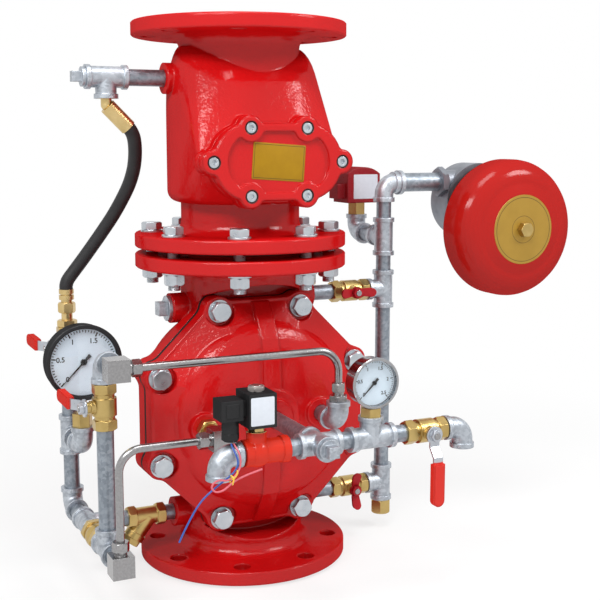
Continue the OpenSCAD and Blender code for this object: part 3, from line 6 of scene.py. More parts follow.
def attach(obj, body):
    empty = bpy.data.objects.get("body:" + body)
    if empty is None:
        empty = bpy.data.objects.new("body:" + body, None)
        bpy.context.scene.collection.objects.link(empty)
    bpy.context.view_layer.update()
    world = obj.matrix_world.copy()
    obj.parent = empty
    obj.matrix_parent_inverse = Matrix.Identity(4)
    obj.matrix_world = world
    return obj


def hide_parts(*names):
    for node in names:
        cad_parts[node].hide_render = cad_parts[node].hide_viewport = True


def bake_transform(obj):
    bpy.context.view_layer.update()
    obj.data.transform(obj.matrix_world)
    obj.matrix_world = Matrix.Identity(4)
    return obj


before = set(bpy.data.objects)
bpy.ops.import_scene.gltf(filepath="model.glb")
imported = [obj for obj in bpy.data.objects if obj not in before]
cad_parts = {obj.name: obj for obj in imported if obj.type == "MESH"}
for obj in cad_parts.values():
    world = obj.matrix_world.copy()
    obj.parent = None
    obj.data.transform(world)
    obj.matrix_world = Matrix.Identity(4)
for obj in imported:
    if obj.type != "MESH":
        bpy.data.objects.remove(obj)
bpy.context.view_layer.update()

# The viewpoint: a standing eye to the left of the valve, looking slightly down on its bonnet.
# It was found from the two flanges, the bonnet's bolts and the trim.
eye = (-0.5615, -1.3922, 0.5774)
sight = (0.4191, 0.8961, -0.1458)
across = (0.9058, -0.4236, 0.0001)
upward = (0.0616, 0.1321, 0.9893)
camera = bpy.data.objects.new("camera", bpy.data.cameras.new("camera"))
camera.data.lens = 66.19
camera.data.sensor_width = 36
camera.data.clip_start = 0.05
backward = [-c for c in sight]
camera.matrix_world = Matrix([*zip(across, upward, backward, eye), (0, 0, 0, 1)])
bpy.context.scene.collection.objects.link(camera)
bpy.context.scene.camera = camera


# The rubber hose from the tee beside the check valve down to the rear ball valve. It is extruded
# black rubber with a faint cloth mark under the skin, crimped into a ferrule at either end.
class Tone:
    """A socket in a material's tree. Sums and products of tones add Math nodes to that tree."""

    def __init__(self, tree, socket):
        self.tree = tree
        self.socket = socket

    def feed(self, socket, value):
        if isinstance(value, Tone):
            self.tree.links.new(value.socket, socket)
        else:
            socket.default_value = value

    def node(self, kind, settings, links, output=0):
        made = self.tree.nodes.new("ShaderNode" + kind)
        for key, value in settings.items():
            setattr(made, key, value)
        for key, value in links.items():
            self.feed(made.inputs[key], value)
        return Tone(self.tree, made.outputs[output])

    def maths(self, operation, first, second=0.0):
        return self.node("Math", {"operation": operation}, {0: first, 1: second})

    def __add__(self, other):
        return self.maths("ADD", self, other)

    def __radd__(self, other):
        return self.maths("ADD", other, self)

    def __sub__(self, other):
        return self.maths("SUBTRACT", self, other)

    def __rsub__(self, other):
        return self.maths("SUBTRACT", other, self)

    def __mul__(self, other):
        return self.maths("MULTIPLY", self, other)

    def noise(self, scale, detail=2.0):
        """Cloudy noise with a given number of lumps to the metre."""
        return self.node("TexNoise", {}, {"Vector": self, "Scale": scale, "Detail": detail})

    def cells(self, scale):
        """Random crystal cells, a given number to the metre, each with one colour of its own."""
        return self.node("TexVoronoi", {}, {"Vector": self, "Scale": scale}, "Color")

    def axis(self, letter):
        """One coordinate of a point."""
        return self.node("SeparateXYZ", {}, {0: self}, letter)

    def step(self, low, high):
        """Smooth step from 0 at low to 1 at high."""
        return self.node("MapRange", {"interpolation_type": "SMOOTHSTEP"},
                         {"Value": self, "From Min": low, "From Max": high})

    def past(self, edge, soft):
        """0 before an edge and 1 past it, fading over a soft margin on either side."""
        return self.step(edge - soft, edge + soft)

    def band(self, low, high, soft):
        """1 between low and high and 0 outside, fading over a soft margin beyond each."""
        return self.step(low, low + soft) - self.step(high, high + soft)

    def between(self, low, high):
        """Colour between two colours, with this tone as the share of the second."""
        return self.node("Mix", {"data_type": "RGBA"}, {0: self, 6: low, 7: high}, 2)

    def distance(self, point):
        """Distance of a position from a fixed point."""
        return self.node("VectorMath", {"operation": "DISTANCE"}, {0: self, 1: point}, "Value")


def rgb(r, g, b):
    return (r, g, b, 1.0)


def finish(name, mix):
    """Material whose shader inputs come from mix(at), where at is the object's own position.
    The input called Relief is a height in metres and goes through a Bump node; Round is the
    radius in metres by which the shading of edges is softened; Gloss is the share of a clear
    polish that mirrors its surroundings alike from every side."""
    made = bpy.data.materials.new(name)
    made.use_nodes = True
    tree = made.node_tree
    shader = tree.nodes["Principled BSDF"]
    at = Tone(tree, tree.nodes.new("ShaderNodeTexCoord").outputs["Object"])
    inputs = mix(at)
    relief = {"Strength": 1.0, "Distance": 1.0, "Height": inputs.pop("Relief", 0.0)}
    if "Round" in inputs:
        relief["Normal"] = at.node("Bevel", {"samples": 8}, {"Radius": inputs.pop("Round")})
    inputs["Normal"] = at.node("Bump", {}, relief, "Normal")
    if "Gloss" in inputs:
        polish = at.node("BsdfPrincipled", {}, {
            "Base Color": rgb(1, 1, 1), "Metallic": 1.0,
            "Roughness": inputs["Roughness"], "Normal": inputs["Normal"]})
        inputs["Specular IOR Level"] = 0.0
        both = at.node("MixShader", {}, {
            0: inputs.pop("Gloss"), 1: Tone(tree, shader.outputs[0]), 2: polish})
        tree.links.new(both.socket, tree.nodes["Material Output"].inputs[0])
    for key, value in inputs.items():
        at.feed(shader.inputs[key], value)
    return made


def wear(names, material):
    """Gives CAD nodes their finish."""
    for name in names:
        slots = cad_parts[name].data.materials
        slots.clear()
        slots.append(material)


def smoothed(points, per_span):
    """Curve through given points: each span is the cubic whose end slopes are half the chord
    between the neighbouring points."""
    p = np.array(points, float)
    ghost = np.vstack([2 * p[0] - p[1], p, 2 * p[-1] - p[-2]])
    t = np.arange(per_span)[:, None] / per_span
    a, b, c, d = ghost[:-3, None], ghost[1:-2, None], ghost[2:-1, None], ghost[3:, None]
    slope, bend, twist = c - a, 2 * a - 5 * b + 4 * c - d, 3 * b - a - 3 * c + d
    spans = 0.5 * (2 * b + slope * t + bend * t ** 2 + twist * t ** 3)
    return np.vstack([spans.reshape(-1, 3), p[-1:]])


def unit(v):
    return v / np.linalg.norm(v, axis=-1, keepdims=True)


def swept(path, radius, sides):
    """Round tube: ring i is path[i] + radius (s cos k + u sin k), with s square to the path and to one
    fixed slanted direction, and u square to both."""
    slanted = (0.31, 0.9, 0.2)
    heading = unit(np.gradient(path, axis=0))
    side = unit(np.cross(heading, slanted))
    lift = np.cross(heading, side)
    k = np.linspace(0, 2 * np.pi, sides, endpoint=False)[None, :, None]
    return path[:, None] + radius * (side[:, None] * np.cos(k) + lift[:, None] * np.sin(k))


def skin(name, rings, body, material, looped=False):
    """Piece from a grid of points: quads between neighbouring rings, closed round each ring. Either the
    last ring joins the first, or a face closes each end. Edges bent past the crease angle stay sharp.
    The piece rides on the named body, if any."""
    crease_angle = 0.7
    rows, cols = rings.shape[:2]
    index = np.arange(rows * cols).reshape(rows, cols)
    below = index if looped else index[:-1]
    above = np.roll(index, -1, axis=0)[:len(below)]
    quads = np.stack([below, np.roll(below, -1, axis=1), np.roll(above, -1, axis=1), above], axis=-1)
    quads = quads.reshape(-1, 4).tolist()
    if not looped:
        quads += [index[0, ::-1].tolist(), index[-1].tolist()]
    mesh = bpy.data.meshes.new(name)
    mesh.from_pydata(rings.reshape(-1, 3).tolist(), [], quads)
    mesh.shade_smooth()
    mesh.set_sharp_from_angle(angle=crease_angle)
    made = bpy.data.objects.new(name, mesh)
    bpy.context.scene.collection.objects.link(made)
    mesh.materials.append(material)
    if body:
        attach(made, body)
    return made


def hose_rubber(at):
    """Black rubber, with a fine cloth mark and a dusty bloom."""
    bloom = at.noise(60, 3)
    return {"Base Color": bloom.between(rgb(0.012, 0.012, 0.013), rgb(0.03, 0.03, 0.031)),
            "Roughness": 0.42 + bloom * 0.2, "Specular IOR Level": 0.3,
            "Relief": at.noise(900, 2) * 0.00006}


black_rubber = finish("black_rubber", hose_rubber)
hose_route = np.array([
    (-158, 0, 594), (-152, 0, 588), (-146, 4, 578), (-142, 12, 564), (-140, 21, 548), (-140, 31, 532),
    (-143, 42, 514), (-150, 53, 494), (-160, 62, 473), (-172, 69, 453), (-185, 75, 433), (-198, 80, 414),
    (-209, 83, 399), (-218, 84, 387), (-221, 84, 379), (-221, 84, 374)]) / 1000
hose_line = smoothed(hose_route, 5)
hose_d = 0.018
hose = skin("hose_skin", swept(hose_line, hose_d / 2, 24), "valve", black_rubber)
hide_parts("hose")


# Two thin insulated wires from the solenoid's connector, looped once and held by a yellow tie.
# One ends short to the right and the other trails down to the left.
def insulation(colour):
    darker = rgb(*(0.75 * c for c in colour[:3]))

    def mix(at):
        """Glossy insulation with a slight unevenness along the wire."""
        return {"Base Color": at.noise(300, 2).between(colour, darker),
                "Roughness": 0.32 + at.noise(800) * 0.12}
    return mix


wire_d = 0.0022
gland = np.array([-0.1125, -0.243, 0.232])
red_line = smoothed(gland + np.array([
    (1.5, -7, -1.4), (1.7, -9.5, -3), (2.5, -13.5, -6), (3.8, -17, -10.5), (4.6, -19.5, -16),
    (4, -21, -21.5), (2, -22.5, -27), (-2.5, -24, -32.5), (-8.5, -25, -37), (-16, -26, -37.5),
    (-24, -26.5, -36), (-31, -27, -38.5), (-33.5, -27.5, -43.5), (-28.5, -28, -48.5),
    (-20, -28.5, -47.5), (-12.5, -28.8, -42.5), (-5, -29, -38), (3.5, -28.5, -35), (12, -28, -32.8),
    (20.5, -27.5, -31), (28, -27, -29.5)]) / 1000, 4)
blue_line = smoothed(gland + np.array([
    (-1.7, -7, -1.4), (-2, -9.5, -3), (-1.8, -13.5, -6), (-0.5, -17, -10.5), (0.8, -19.5, -16),
    (0.8, -21, -21.5), (-1.5, -21.5, -27), (-6, -21.5, -32), (-11.5, -21.5, -36), (-18, -21.5, -40),
    (-26, -22, -45), (-34, -22, -50.5), (-42, -22, -57), (-49, -22, -65), (-55, -22, -74),
    (-61, -22, -84), (-66.5, -22, -94), (-71, -22, -103)]) / 1000, 4)
red_wire = skin("red_wire_skin", swept(red_line, wire_d / 2, 10), "valve",
                finish("red_insulation", insulation(rgb(0.72, 0.14, 0.18))))
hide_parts("red_wire")
blue_wire = skin("blue_wire_skin", swept(blue_line, wire_d / 2, 10), "valve",
                 finish("blue_insulation", insulation(rgb(0.03, 0.10, 0.42))))
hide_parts("blue_wire")
# The tie goes once round both wires in a slightly wavy ring, and its tail stands up from the front.
tie_r, tie_wave = 0.0050, 0.0006
tie_turn = np.linspace(0, 2 * np.pi, 33)[:-1]
tie_centre = gland + np.array([-8.5, -25.5, -38]) / 1000
tie_loop = tie_centre + np.stack([tie_wave * np.sin(3 * tie_turn), tie_r * np.cos(tie_turn),
                                  tie_r * np.sin(tie_turn)], axis=1)
tie_tail = tie_centre + np.array([(0, -4, 2), (2, -6, 5), (4, -7, 9), (4, -7, 13)]) / 1000
tie_line = np.vstack([tie_loop, tie_loop[:1], smoothed(tie_tail, 4)])
tie_thickness = 0.0018
tie_plastic = finish("yellow_tie", lambda at: {
    "Base Color": at.noise(400).between(rgb(0.75, 0.45, 0.03), rgb(0.85, 0.60, 0.08)),
    "Roughness": 0.4 + at.noise(500) * 0.1})
wire_tie = skin("wire_tie", swept(tie_line, tie_thickness / 2, 8), "valve", tie_plastic)


# The red castings: both valve bodies, the bonnet and the check valve's cover. They are sand-cast iron
# under a thick gloss enamel that keeps the lumps of the mould. The cover's middle height and the plane
# of its screw heads stand here, because the screws and the nameplate use them too.
cover_z = 0.547
screw_head_y = -0.1335


def enamel(at):
    """Deep red gloss over a lumpy skin: broad mould lumps, then finer grains under the paint."""
    grains = at.noise(330, 2)
    return {"Base Color": at.noise(14, 2).between(rgb(0.47, 0.004, 0.005), rgb(0.57, 0.007, 0.008)),
            "Roughness": 0.07 + grains * 0.10,
            "Gloss": 0.025,
            "Round": 0.004,
            "Relief": at.noise(75, 2) * 0.0005 + grains * 0.0003}


def from_screws(at):
    """Distance from the nearest of the cover's six screws, in the plane of their heads."""
    outer_x, inner_x, inner_z = 0.087, 0.038, 0.042
    places = [(side * outer_x, 0.0) for side in (-1, 1)]
    places += [(side * inner_x, up * inner_z) for side in (-1, 1) for up in (-1, 1)]
    far = [at.distance((x, screw_head_y, cover_z + z)) for x, z in places]
    nearest = far[0]
    for other in far[1:]:
        nearest = at.maths("MINIMUM", nearest, other)
    return nearest


def cover_enamel(at):
    """The same enamel, with painted shade: a dark ring round each screw head, where it sits in its
    counterbore.
    """
    made = enamel(at)
    # Painted shadow in each screw's counterbore: the enamel turns dark in a ring round the head.
    ring = 1 - from_screws(at).step(0.0082, 0.0092)
    made["Base Color"] = ring.between(made["Base Color"], rgb(0.025, 0.006, 0.006))
    return made


wear(["valve_body", "bonnet", "check_body"], finish("red_enamel", enamel))
wear(["check_cover"], finish("cover_enamel", cover_enamel))


# Rubber and fibre between the castings: the diaphragm, whose edge shows round the bonnet, the clapper's
# seal and the two gaskets, all cut from dark sheet.
def sheet_rubber(at):
    """Matt black sheet with a fine cut grain."""
    grain = at.noise(500, 3)
    return {"Base Color": grain.between(rgb(0.006, 0.006, 0.006), rgb(0.02, 0.02, 0.02)),
            "Roughness": 0.62 + grain * 0.2, "Specular IOR Level": 0.1, "Relief": grain * 0.00005}


wear(["diaphragm", "clapper_seal"], finish("sheet_rubber", sheet_rubber))
wear(["flange_gasket", "cover_gasket"], finish("fibre_sheet", lambda at: {
    "Base Color": at.noise(300, 3).between(rgb(0.05, 0.045, 0.04), rgb(0.12, 0.10, 0.09)),
    "Roughness": 0.75 + at.noise(200) * 0.15}))


# The swing clapper inside the check valve: a cast iron disc with its arm, left as cast and lightly
# oiled. It shows only through the outlet.
wear(["clapper"], finish("oiled_iron", lambda at: {
    "Base Color": at.noise(60, 3).between(rgb(0.08, 0.08, 0.085), rgb(0.20, 0.20, 0.21)),
    "Metallic": 0.7, "Roughness": 0.4 + at.noise(150, 3) * 0.25, "Relief": at.noise(300, 3) * 0.0001}))


# Bolts, nuts, washers and cap screws: forged or turned steel with bright, slightly blue zinc plate.
# The long bolts between the two valves show their threads, the cover's screws their hexagon sockets with
# painted shade inside.
def zinc(at):
    """Bright plate with cloudy patches and fine turning marks."""
    cloud = at.noise(90, 3)
    return {"Base Color": cloud.between(rgb(0.36, 0.40, 0.44), rgb(0.66, 0.69, 0.72)),
            "Metallic": 1.0, "Roughness": 0.20 + cloud * 0.2, "Round": 0.0008,
            "Relief": at.noise(900, 2) * 0.00003}


def threaded(at):
    """The same plate with screw threads, 2 mm apart, on the shanks between and below the flanges."""
    made = zinc(at)
    height = at.axis("Z")
    joint_top_z, pitch, thread_depth = 0.451, 0.002, 0.0003
    shank = 1 - height.past(joint_top_z, 0.0005)
    ridges = height.maths("SINE", height * (2 * np.pi / pitch))
    made["Relief"] = made["Relief"] + ridges * shank * thread_depth
    return made


def socketed(at):
    """The same plate, with painted shade: a dark round spot inside each screw's hexagon socket."""
    made = zinc(at)
    plated = from_screws(at).step(0.0028, 0.0034)
    # Painted shade inside each socket: dark near the screw's axis, plate colour further out.
    made["Base Color"] = plated.between(rgb(0.12, 0.11, 0.10), made["Base Color"])
    return made


wear(["bonnet_bolts", "flange_nuts"], finish("zinc_plate", zinc))
wear(["cover_screws"], finish("zinc_sockets", socketed))
wear(["flange_bolts"], finish("zinc_threads", threaded))


# Pipes, tees, elbows and plugs of the trim: malleable iron and steel pipe, hot-dip galvanised, with the
# crystal spangle and the dull patches that the bath leaves.
def galvanised(dull, bright):
    def mix(at):
        """Zinc spangle: crystal cells of different brightness, with fine drips and dulled patches."""
        cloud = at.noise(45, 3)
        patch = at.cells(260).axis("X") * 0.45 + cloud * 0.55
        return {"Base Color": patch.between(dull, bright),
                "Metallic": 0.9, "Roughness": 0.34 + cloud * 0.2, "Round": 0.0015,
                "Relief": cloud * 0.0002 + at.noise(500, 3) * 0.00012}
    return mix


wear(["pipe_nipples"],
     finish("zinc_pipe", galvanised(rgb(0.15, 0.175, 0.205), rgb(0.40, 0.44, 0.49))))
wear(["pipe_tees", "pipe_elbows", "pipe_plugs"],
     finish("zinc_fittings", galvanised(rgb(0.26, 0.285, 0.32), rgb(0.60, 0.64, 0.69))))


# Brass: valve bodies, strainer, adaptors and seat rings. The bodies are cast or forged with a grainy
# skin.
def brass(at):
    """Yellow brass with a browner bloom and a sand-cast grain."""
    bloom = at.noise(55, 3)
    return {"Base Color": bloom.between(rgb(0.36, 0.24, 0.075), rgb(0.66, 0.49, 0.20)),
            "Metallic": 1.0, "Roughness": 0.22 + bloom * 0.2, "Round": 0.0012,
            "Relief": at.noise(420, 3) * 0.00015}


wear(["brass_adaptors", "seat_ring", "check_seat", "strainer_body", "strainer_cap", "check_fitting",
      "front_valve_body", "rear_valve_body", "drain_valve_body", "alarm_valve_body", "test_valve_body",
      "striker"], finish("cast_brass", brass))
wear(["hose_ferrules"], finish("gold_zinc", lambda at: {
    "Base Color": at.noise(80, 3).between(rgb(0.50, 0.36, 0.14), rgb(0.78, 0.60, 0.30)),
    "Metallic": 1.0, "Roughness": 0.25 + at.noise(120, 2) * 0.2, "Relief": at.noise(700, 2) * 0.00003}))


# Stainless steel: the two control tubes with their square elbows and nuts, and the bright parts inside,
# which are the diaphragm's plate, the clapper's pin, the strainer's screen, the balls and the plunger.
def stainless(at):
    """Satin steel with a fine drawn grain."""
    grain = at.noise(350, 3)
    return {"Base Color": grain.between(rgb(0.23, 0.225, 0.225), rgb(0.42, 0.415, 0.42)),
            "Metallic": 1.0, "Roughness": 0.16 + grain * 0.14, "Round": 0.0008}


satin_steel = finish("satin_steel", stainless)
wear(["control_tubes", "tube_fittings", "diaphragm_plate", "return_spring", "hinge_pin", "strainer_screen",
      "front_valve_ball", "rear_valve_ball", "drain_valve_ball", "alarm_valve_ball", "test_valve_ball",
      "solenoid_plunger"], satin_steel)


# The return spring between the diaphragm's plate and the bonnet: three turns of round steel wire. It is
# made in one fixed shape and rides on no body.
def helix(turns, radius, start, end, points):
    """Coil about the front-to-back line from start to end: the angle grows evenly through the turns
    while y runs evenly from one end to the other."""
    k = np.linspace(0, 2 * np.pi * turns, points)
    y = np.linspace(start[1], end[1], points)
    return np.stack([start[0] + radius * np.cos(k), y, start[2] + radius * np.sin(k)], axis=1)


spring_wire_d = 0.005
spring_on_plate = (0, -0.0552, 0.215)
spring_on_bonnet = (0, -0.0891, 0.215)
spring_line = helix(3, 0.042, spring_on_plate, spring_on_bonnet, 121)
spring = skin("return_spring_skin", swept(spring_line, spring_wire_d / 2, 10), None, satin_steel)
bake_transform(spring)
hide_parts("return_spring")


# Ball valve levers: plated steel straps dipped in red vinyl beyond the bend. The two small valves have
# pressed butterfly handles lacquered a darker red all over.
def dipped(pivot, reach):
    def mix(at):
        """Vinyl red beyond a distance from the stem, zinc plate nearer to it."""
        grip = at.distance(pivot).past(reach, 0.0008)
        cloud = at.noise(90, 3)
        plated = cloud.between(rgb(0.36, 0.38, 0.42), rgb(0.60, 0.63, 0.67))
        return {"Base Color": grip.between(plated, rgb(0.62, 0.028, 0.018)),
                "Metallic": 1.0 - grip, "Roughness": 0.22 + cloud * 0.16, "Round": 0.001, "Gloss": 0.02,
                "Relief": at.noise(300, 2) * grip * 0.00008}
    return mix


bare_reach = 0.034
for lever, pivot in (("front_valve_lever", (-0.245, -0.100, 0.2525)),
                     ("rear_valve_lever", (-0.245, 0.084, 0.294)),
                     ("drain_valve_lever", (0.147, -0.267, 0.215))):
    wear([lever], finish(lever + "_dip", dipped(pivot, bare_reach)))
wear(["alarm_valve_handle", "test_valve_handle"], finish("handle_lacquer", lambda at: {
    "Base Color": at.noise(120, 2).between(rgb(0.36, 0.008, 0.014), rgb(0.48, 0.012, 0.02)),
    "Roughness": 0.24 + at.noise(300) * 0.12, "Round": 0.001, "Gloss": 0.02,
    "Relief": at.noise(300, 2) * 0.00005}))


# Pressure gauges: a black pressed case on the supply side and a bright steel one on the manifold. Each
# has a pale bluish dial with printed ticks and figures, a black pointer and a flat glass.
def lathe(profile, sides=64):
    """Surface of revolution about a line towards the front: a profile of (radius, forward) turned
    through a full circle in the X-Z plane."""
    radius, forward = np.array(profile, float).T
    k = np.linspace(0, 2 * np.pi, sides, endpoint=False)
    ring = np.stack([np.cos(k), np.zeros_like(k), np.sin(k)], axis=-1)
    return radius[:, None, None] * ring[None] + forward[:, None, None] * np.array([0, -1.0, 0])


def strips(name, corners, body, material):
    """Printed marks with a thin body: each row of four front corners, and the same four set a little
    back, make the six faces of a small block."""
    thickness = 0.0001
    blocks = np.concatenate([corners, corners + np.array([0, thickness, 0])], axis=1)
    sides = np.array([[0, 1, 2, 3], [7, 6, 5, 4], [0, 4, 5, 1],
                      [1, 5, 6, 2], [2, 6, 7, 3], [3, 7, 4, 0]])
    faces = (8 * np.arange(len(blocks))[:, None, None] + sides).reshape(-1, 4)
    mesh = bpy.data.meshes.new(name)
    mesh.from_pydata(blocks.reshape(-1, 3).tolist(), [], faces.tolist())
    made = bpy.data.objects.new(name, mesh)
    bpy.context.scene.collection.objects.link(made)
    mesh.materials.append(material)
    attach(made, body)
    return made


def figures(name, words, places, size, plane, body, material):
    """Dial figures: each word set on the plane y with a thin body, centred on its place, as one mesh
    of triangles. The strokes are made a little bolder than the font's."""
    boldness, half_thickness = 0.018, 0.00005
    points, faces, count = [], [], 0
    for word, (x, z) in zip(words, places):
        curve = bpy.data.curves.new("figure", "FONT")
        curve.body = word
        curve.size = size
        curve.offset = size * boldness
        curve.extrude = half_thickness
        curve.align_x = "CENTER"
        curve.align_y = "CENTER"
        holder = bpy.data.objects.new("figure", curve)
        flat = holder.to_mesh()
        flat.calc_loop_triangles()
        co = np.empty(3 * len(flat.vertices), np.float32)
        flat.vertices.foreach_get("co", co)
        corner = np.empty(3 * len(flat.loop_triangles), np.int32)
        flat.loop_triangles.foreach_get("vertices", corner)
        co = co.reshape(-1, 3)
        points.append(np.stack([x + co[:, 0], plane - co[:, 2], z + co[:, 1]], axis=1))
        faces.append(corner.reshape(-1, 3) + count)
        count += len(co)
        holder.to_mesh_clear()
        bpy.data.objects.remove(holder)
        bpy.data.curves.remove(curve)
    mesh = bpy.data.meshes.new(name)
    mesh.from_pydata(np.vstack(points).tolist(), [], np.vstack(faces).tolist())
    made = bpy.data.objects.new(name, mesh)
    bpy.context.scene.collection.objects.link(made)
    mesh.materials.append(material)
    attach(made, body)
    return made


dial_white = finish("dial_white", lambda at: {
    "Base Color": at.noise(120, 2).between(rgb(0.60, 0.71, 0.80), rgb(0.66, 0.77, 0.86)),
    "Roughness": 0.45 + at.noise(300) * 0.1, "Specular IOR Level": 0.1})
dial_ink = finish("dial_ink", lambda at: {
    "Base Color": at.noise(400, 2).between(rgb(0.006, 0.006, 0.007), rgb(0.016, 0.016, 0.016)),
    "Roughness": 0.5 + at.noise(400) * 0.1, "Specular IOR Level": 0.1})
dial_glass = finish("dial_glass", lambda at: {
    "Base Color": at.noise(40, 2).between(rgb(0.96, 0.97, 0.98), rgb(1.0, 1.0, 1.0)),
    "Roughness": 0.02 + at.noise(60) * 0.02, "Metallic": 1.0, "Alpha": 0.03})
wear(["supply_gauge"], finish("black_case", lambda at: {
    "Base Color": at.noise(150, 2).between(rgb(0.010, 0.010, 0.011), rgb(0.022, 0.022, 0.024)),
    "Roughness": 0.24 + at.noise(300, 2) * 0.15, "Gloss": 0.025, "Round": 0.0012,
    "Relief": at.noise(600, 2) * 0.00002}))
wear(["chamber_gauge"], finish("bright_case", lambda at: {
    "Base Color": at.noise(90, 2).between(rgb(0.30, 0.30, 0.31), rgb(0.42, 0.42, 0.43)),
    "Metallic": 1.0, "Roughness": 0.12 + at.noise(300, 2) * 0.08}))
wear(["supply_needle", "chamber_needle"], dial_ink)
# Fifty equal steps of the dial's sweep, from zero clockwise, each carry one tick along its radius.
# Every tenth tick is long and broad, and every second one is a little longer than the rest.
dial_zero, dial_sweep, dial_steps = 225, 270, 50
dial_words = ["0", "0.5", "1", "1.5", "2", "2.5"]
tick_end, long_tick, middle_tick, short_tick = 0.95, 0.82, 0.87, 0.89
broad_tick, fine_tick = 0.020, 0.012
dial_sunk, glass_sunk, edge_play = 0.007, 0.0025, 0.0004
spindle_hole_r, card_back, card_front, ink_front = 0.0022, 0.0001, 0.0003, 0.00045
glass_thickness = 0.0012
for gauge, x, z, back_y, depth, face_r in (("supply", -0.221, 0.289, 0.022, 0.030, 0.0445),
                                           ("chamber", 0.071, 0.2845, -0.230, 0.027, 0.0280)):
    dial_f = depth - dial_sunk
    glass_f = depth - glass_sunk
    edge = face_r - edge_play
    seat = np.array([x, back_y, z])
    card = lathe([(spindle_hole_r, dial_f + card_front), (spindle_hole_r, dial_f + card_back),
                  (edge, dial_f + card_back), (edge, dial_f + card_front)])
    dial = skin(gauge + "_dial", seat + card, "valve", dial_white, looped=True)
    mark = np.arange(dial_steps + 1)[:, None]
    turn = np.radians(dial_zero - mark * dial_sweep / dial_steps)
    tenth = mark % 10 == 0
    even = mark % 2 == 0
    inner = face_r * np.where(tenth, long_tick, np.where(even, middle_tick, short_tick))
    outer = face_r * tick_end
    width = face_r * np.where(tenth, broad_tick, fine_tick)
    along = np.hstack([np.cos(turn), 0 * turn, np.sin(turn)])
    beside = np.hstack([-np.sin(turn), 0 * turn, np.cos(turn)]) * width
    ink = seat + np.array([0, -(dial_f + ink_front), 0])
    corners = np.stack([along * inner - beside, along * outer - beside,
                        along * outer + beside, along * inner + beside], axis=1)
    strips(gauge + "_ticks", ink + corners, "valve", dial_ink)
    spots = np.radians(dial_zero - np.linspace(0, dial_sweep, len(dial_words)))
    word_r, word_size = 0.68 * face_r, 0.21 * face_r
    places = np.stack([x + word_r * np.cos(spots), z + word_r * np.sin(spots)], axis=1)
    figures(gauge + "_figures", dial_words, places, word_size, ink[1], "valve", dial_ink)
    pane = lathe([(edge, glass_f - glass_thickness), (edge, glass_f)])
    lens = skin(gauge + "_glass", seat + pane, "valve", dial_glass)


# Solenoid valve: a red lacquered body, a black moulded coil held by a plated nut, and a black plug
# connector with its cable gland. A bare white label is stuck on the coil's face.
def moulded(at):
    """Black moulded plastic with a fine spark-eroded grain."""
    grain = at.noise(900, 2)
    return {"Base Color": grain.between(rgb(0.008, 0.008, 0.009), rgb(0.022, 0.022, 0.023)),
            "Roughness": 0.30 + grain * 0.2, "Round": 0.0012, "Gloss": 0.02, "Relief": grain * 0.00003}


def coil(at):
    """Black moulding up to the coil's top face and a plated steel nut above it."""
    made = moulded(at)
    coil_top_z = 0.2885
    nut = at.axis("Z").past(coil_top_z, 0.00005)
    made["Base Color"] = nut.between(made["Base Color"], rgb(0.42, 0.38, 0.36))
    made["Metallic"] = nut
    return made


def lacquered(at):
    """Red lacquer on the body, a brass nut on its neck and a steel core tube above the coil."""
    height = at.axis("Z")
    nut_from_z, core_from_z = 0.2403, 0.2601
    nut = height.past(nut_from_z, 0.0001)
    core = height.past(core_from_z, 0.0001)
    red = at.noise(40, 2).between(rgb(0.56, 0.022, 0.010), rgb(0.66, 0.033, 0.013))
    metal = core.between(rgb(0.50, 0.36, 0.14), rgb(0.46, 0.42, 0.40))
    return {"Base Color": nut.between(red, metal), "Metallic": nut, "Round": 0.0015,
            "Roughness": 0.15 + at.noise(400, 2) * 0.12, "Gloss": 0.02,
            "Relief": at.noise(250, 2) * 0.00025}


def plate(name, centre, wide, high, thick, corner, body, material, lean=0.0):
    """Thin plate facing the front with rounded corners: four quarter circles joined by straight
    sides, carried from its back face to its front face with a small bevel, and leant clockwise."""
    steps, bevel = 6, 0.6
    quarter = np.linspace(0, np.pi / 2, steps)
    turn = np.concatenate([quarter + i * np.pi / 2 for i in range(4)])
    arc = np.stack([np.cos(turn), 0 * turn, np.sin(turn)], axis=1) * corner
    pin_x = np.repeat([1, -1, -1, 1], steps) * (wide / 2 - corner)
    pin_z = np.repeat([1, 1, -1, -1], steps) * (high / 2 - corner)
    pins = np.stack([pin_x, 0 * turn, pin_z], axis=1)
    ahead = np.array([0, -thick, 0])
    rings = np.stack([pins + arc, pins + arc + ahead * bevel, pins + arc * bevel + ahead])
    cos, sin = np.cos(np.radians(lean)), np.sin(np.radians(lean))
    rings = rings @ np.array([[cos, 0, -sin], [0, 1, 0], [sin, 0, cos]])
    return skin(name, np.array(centre) + rings, body, material)


wear(["coil_connector"], finish("black_moulding", moulded))
wear(["solenoid_coil"], finish("coil_moulding", coil))
wear(["solenoid_body"], finish("red_lacquer", lacquered))
white_label = finish("white_label", lambda at: {
    "Base Color": at.noise(200, 2).between(rgb(0.60, 0.64, 0.70), rgb(0.68, 0.72, 0.78)),
    "Roughness": 0.4 + at.noise(300) * 0.1, "Specular IOR Level": 0.2})
coil_label = plate("coil_label", (-0.0806, -0.2640, 0.2683), 0.029, 0.033, 0.0004, 0.0015, "valve",
                   white_label)


# Pressure switch: a maroon cast housing with a bowed lid, screwed on its brass stem above the elbow.
# A bare white label is stuck on its front.
wear(["pressure_switch"], finish("maroon_enamel", lambda at: {
    "Base Color": at.noise(30, 2).between(rgb(0.25, 0.010, 0.016), rgb(0.33, 0.016, 0.022)),
    "Roughness": 0.22 + at.noise(400, 2) * 0.15, "Gloss": 0.02, "Round": 0.003,
    "Relief": at.noise(300, 2) * 0.0002}))
switch_label = plate("switch_label", (0.226, 0.0610, 0.505), 0.040, 0.036, 0.0004, 0.0015, "valve",
                     white_label)


